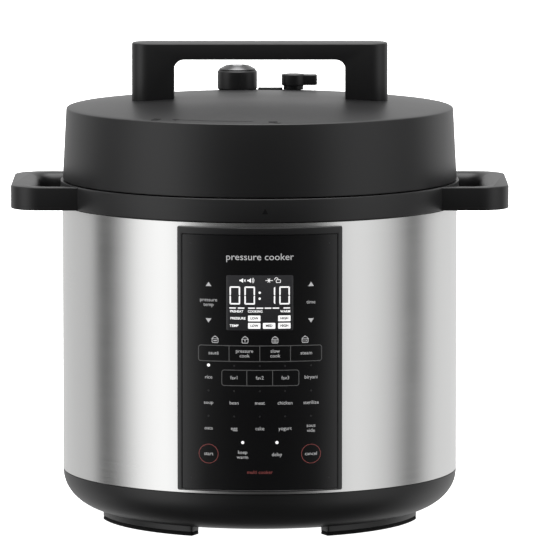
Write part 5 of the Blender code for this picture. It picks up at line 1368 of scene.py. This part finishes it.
# %% Press the printing on
SHEETS = [
    (white, "white_print", "white_ink", PRINT_GAP), (grey, "grey_print", "grey_ink", PRINT_GAP),
    (red, "red_print", "red_ink", PRINT_GAP), (faint, "corner_dots", "faint_ink", PRINT_GAP),
    (lit, "lit_print", "lit_segment", PRINT_GAP), (glass, "tag_print", "display_glass", 2 * PRINT_GAP),
]
for x in (-46.5, 46.5):
    for z in (45.0, 203.5):
        faint.dot(x, z, 0.5)
for marks, name, coat, gap in SHEETS:
    in_strips = name in ("grey_print", "lit_print")
    height = drum_radius + SHEET_FACE + gap
    printed = pressed(marks.piece(name, coat), height, sheet=True, strips=in_strips)
    keep(printed, "housing", "gloss_panel")

# %% [markdown]
# ## Marks on the lid and the collar
# Near the lid's front edge are a closed padlock, a long thin line and an open padlock, moulded a
# touch darker, which show the way to turn. A small triangle on the collar is what they point to.

# %% Lid marks
lid_marks = Marks()
MARK_RADIUS = 127.5


def padlock(x, opened):
    lid_marks.area([(x - 3.0, -3.0), (x + 3.0, -3.0), (x + 3.0, 1.2), (x - 3.0, 1.2)])
    lid_marks.ring(x + (2.6 if opened else 0.0), 1.2, 2.1, 0.9, 0, 180, 10)


padlock(-74.0, False)
lid_marks.line([(-62.0 + 2.2 * step, -3.0) for step in range(27)], 0.9)
lid_marks.line([(-58.6, -0.6), (-62.2, -3.0), (-58.6, -5.0)], 0.9)
padlock(9.0, True)
lid_print = lid_marks.piece("turn_marks", "dark_print")
for vertex in lid_print.data.vertices:
    out = MARK_RADIUS * MM + vertex.co.z
    turn = FRONT + vertex.co.x / (MARK_RADIUS * MM)
    vertex.co = (out * math.cos(turn), out * math.sin(turn), dome(out / MM) * MM + 0.07 * MM)
lid_print.data.update()
keep(lid_print, "lid", "black_plastic")
pointer = Marks()
pointer.area([(1.6, 223.4), (5.6, 223.4), (3.6, 227.2)])
pointer_print = pressed(pointer.piece("collar_pointer", "dark_print"), COLLAR_RADIUS + 0.07, sheet=True)
keep(pointer_print, "housing", "black_plastic")

# %% [markdown]
# ## The rear
# The mains inlet is a moulded socket with a flange that follows the drum and three blades inside. A
# small smoky cup above it catches the water that drips from the collar, and slides down out of its
# bracket.

# %% Mains inlet
flange = rounded_outline(inlet_high.x, (inlet_high.z - inlet_low.z) / 2, 4.0, (0.0, inlet_z), 6)
flange_out = inlet_high.y - drum_radius
flange_levels = [(0.0, DRUM_GAP)] + [(pull, flange_out - drop) for pull, drop in quarter_round(0.5)]
inlet = pressed(lofted("inlet_flange", facing_loops(flange, flange_levels)), drum_radius, REAR)
INLET_HALF_X, INLET_HALF_Z, INLET_WALL = 13.7, 11.5, 1.7
housing_box = rear_block("inlet_box", INLET_HALF_X, INLET_HALF_Z, 1.5, inlet_low.y, drum_radius + 1.0)
cavity_x, cavity_z, cavity_near = INLET_HALF_X - INLET_WALL, INLET_HALF_Z - 3.5, inlet_low.y + INLET_WALL
cavity = rear_block("inlet_cavity", cavity_x, cavity_z, 2.4, cavity_near, 150.0, 0.05)
inlet = boolean(boolean(inlet, "UNION", housing_box), "DIFFERENCE", cavity)
keep(inlet, "housing", "black_plastic", "power_inlet")
for name in ("live", "earth", "neutral"):
    pin_low, pin_high = span("inlet_pin_" + name)
    across, up = (pin_high.x - pin_low.x) / 2, (pin_high.z - pin_low.z) / 2
    middle = ((pin_low.x + pin_high.x) / 2, (pin_low.z + pin_high.z) / 2)
    blade_outline = rounded_outline(across, up, 0.3, (0, 0), 3)
    blade = slab("inlet_blade_" + name, blade_outline, pin_low.y, pin_high.y, 0.3, "polished_steel")
    blade_place = Matrix.Translation((middle[0] * MM, 0, middle[1] * MM))
    blade.data.transform(blade_place @ Matrix.Rotation(-math.pi / 2, 4, "X"))
    keep(blade, "housing", "polished_steel", "inlet_pin_" + name)

# %% Condensate cup and its bracket
cup_low, cup_high = span("condensate_cup")
bracket_low, bracket_high = span("cup_bracket")
CUP_WALL, WEB = 1.2, 1.0
cup_near, cup_far = drum_radius + DRUM_GAP + WEB + 0.3, cup_high.y
cup_middle, cup_half = (cup_near + cup_far) / 2 - drum_radius, (cup_far - cup_near) / 2
cup_plan = rounded_outline(cup_high.x - 0.6, cup_half, 1.4, (0.0, cup_middle), 4)
cup_levels = [(pull, cup_low.z + drop) for pull, drop in quarter_round(1.0)[::-1]]
cup_levels += [(0.0, cup_high.z - 0.3), (0.3, cup_high.z)]
cup_levels += [(CUP_WALL - 0.3, cup_high.z), (CUP_WALL, cup_high.z - 0.3)]
cup_levels += [(CUP_WALL, cup_low.z + 2.2), (CUP_WALL + 0.5, cup_low.z + CUP_WALL)]
cup = pressed(lofted("drip_cup", level_loops(cup_plan, cup_levels), "smoky_plastic"), drum_radius, REAR)
keep(cup, "cup", "smoky_plastic", "condensate_cup")
rail_out = bracket_high.y - drum_radius
inner_x = cup_high.x + 0.3
bracket_plan = [
    (-bracket_high.x, DRUM_GAP), (bracket_high.x, DRUM_GAP), (bracket_high.x, rail_out), (inner_x, rail_out),
    (inner_x, DRUM_GAP + WEB), (-inner_x, DRUM_GAP + WEB), (-inner_x, rail_out), (-bracket_high.x, rail_out),
]
bracket_plan = eased(bracket_plan, 0.3, steps=2)
bracket_loops = [[(x, y, z) for x, y in bracket_plan] for z in (bracket_low.z, bracket_high.z)]
bracket = pressed(lofted("cup_rails", bracket_loops), drum_radius, REAR)
keep(bracket, "housing", "black_plastic", "cup_bracket")

# %% [markdown]
# ## Pieces that stay as they were packed
# Boards, wires, springs and screws are shut inside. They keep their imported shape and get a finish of
# real grain from the same list, so that nothing in the cooker is a flat colour.

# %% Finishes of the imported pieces
COATS = {
    "plated_steel": ("base_screw", "handle_screw", "spring_plate", "thermal_fuse"),
    "polished_steel": ("steam_pipe", "sensor_spring"),
    "grey_plastic": (
        "lift_arm", "lever_shaft", "sensor_sleeve", "pressure_switch", "transformer", "terminal_block",
    ),
    "circuit_board": ("touch_board", "power_board"),
    "copper": ("heater_terminal",),
    "cable_sleeve": ("mains_lead", "panel_cable", "beeper", "filter_capacitor"),
    "black_plastic": ("heater_relay",),
}
packed = {start: coat for coat, starts in COATS.items() for start in starts}
dressed = 0
for name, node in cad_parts.items():
    for start, coat in packed.items():
        if name.startswith(start) and not node.hide_render:
            node.data.materials.clear()
            node.data.materials.append(FINISHES[coat])
            dressed += 1
print("packed pieces dressed:", dressed)

# %% [markdown]
# ## The end

# %% Finish
print("scene built")
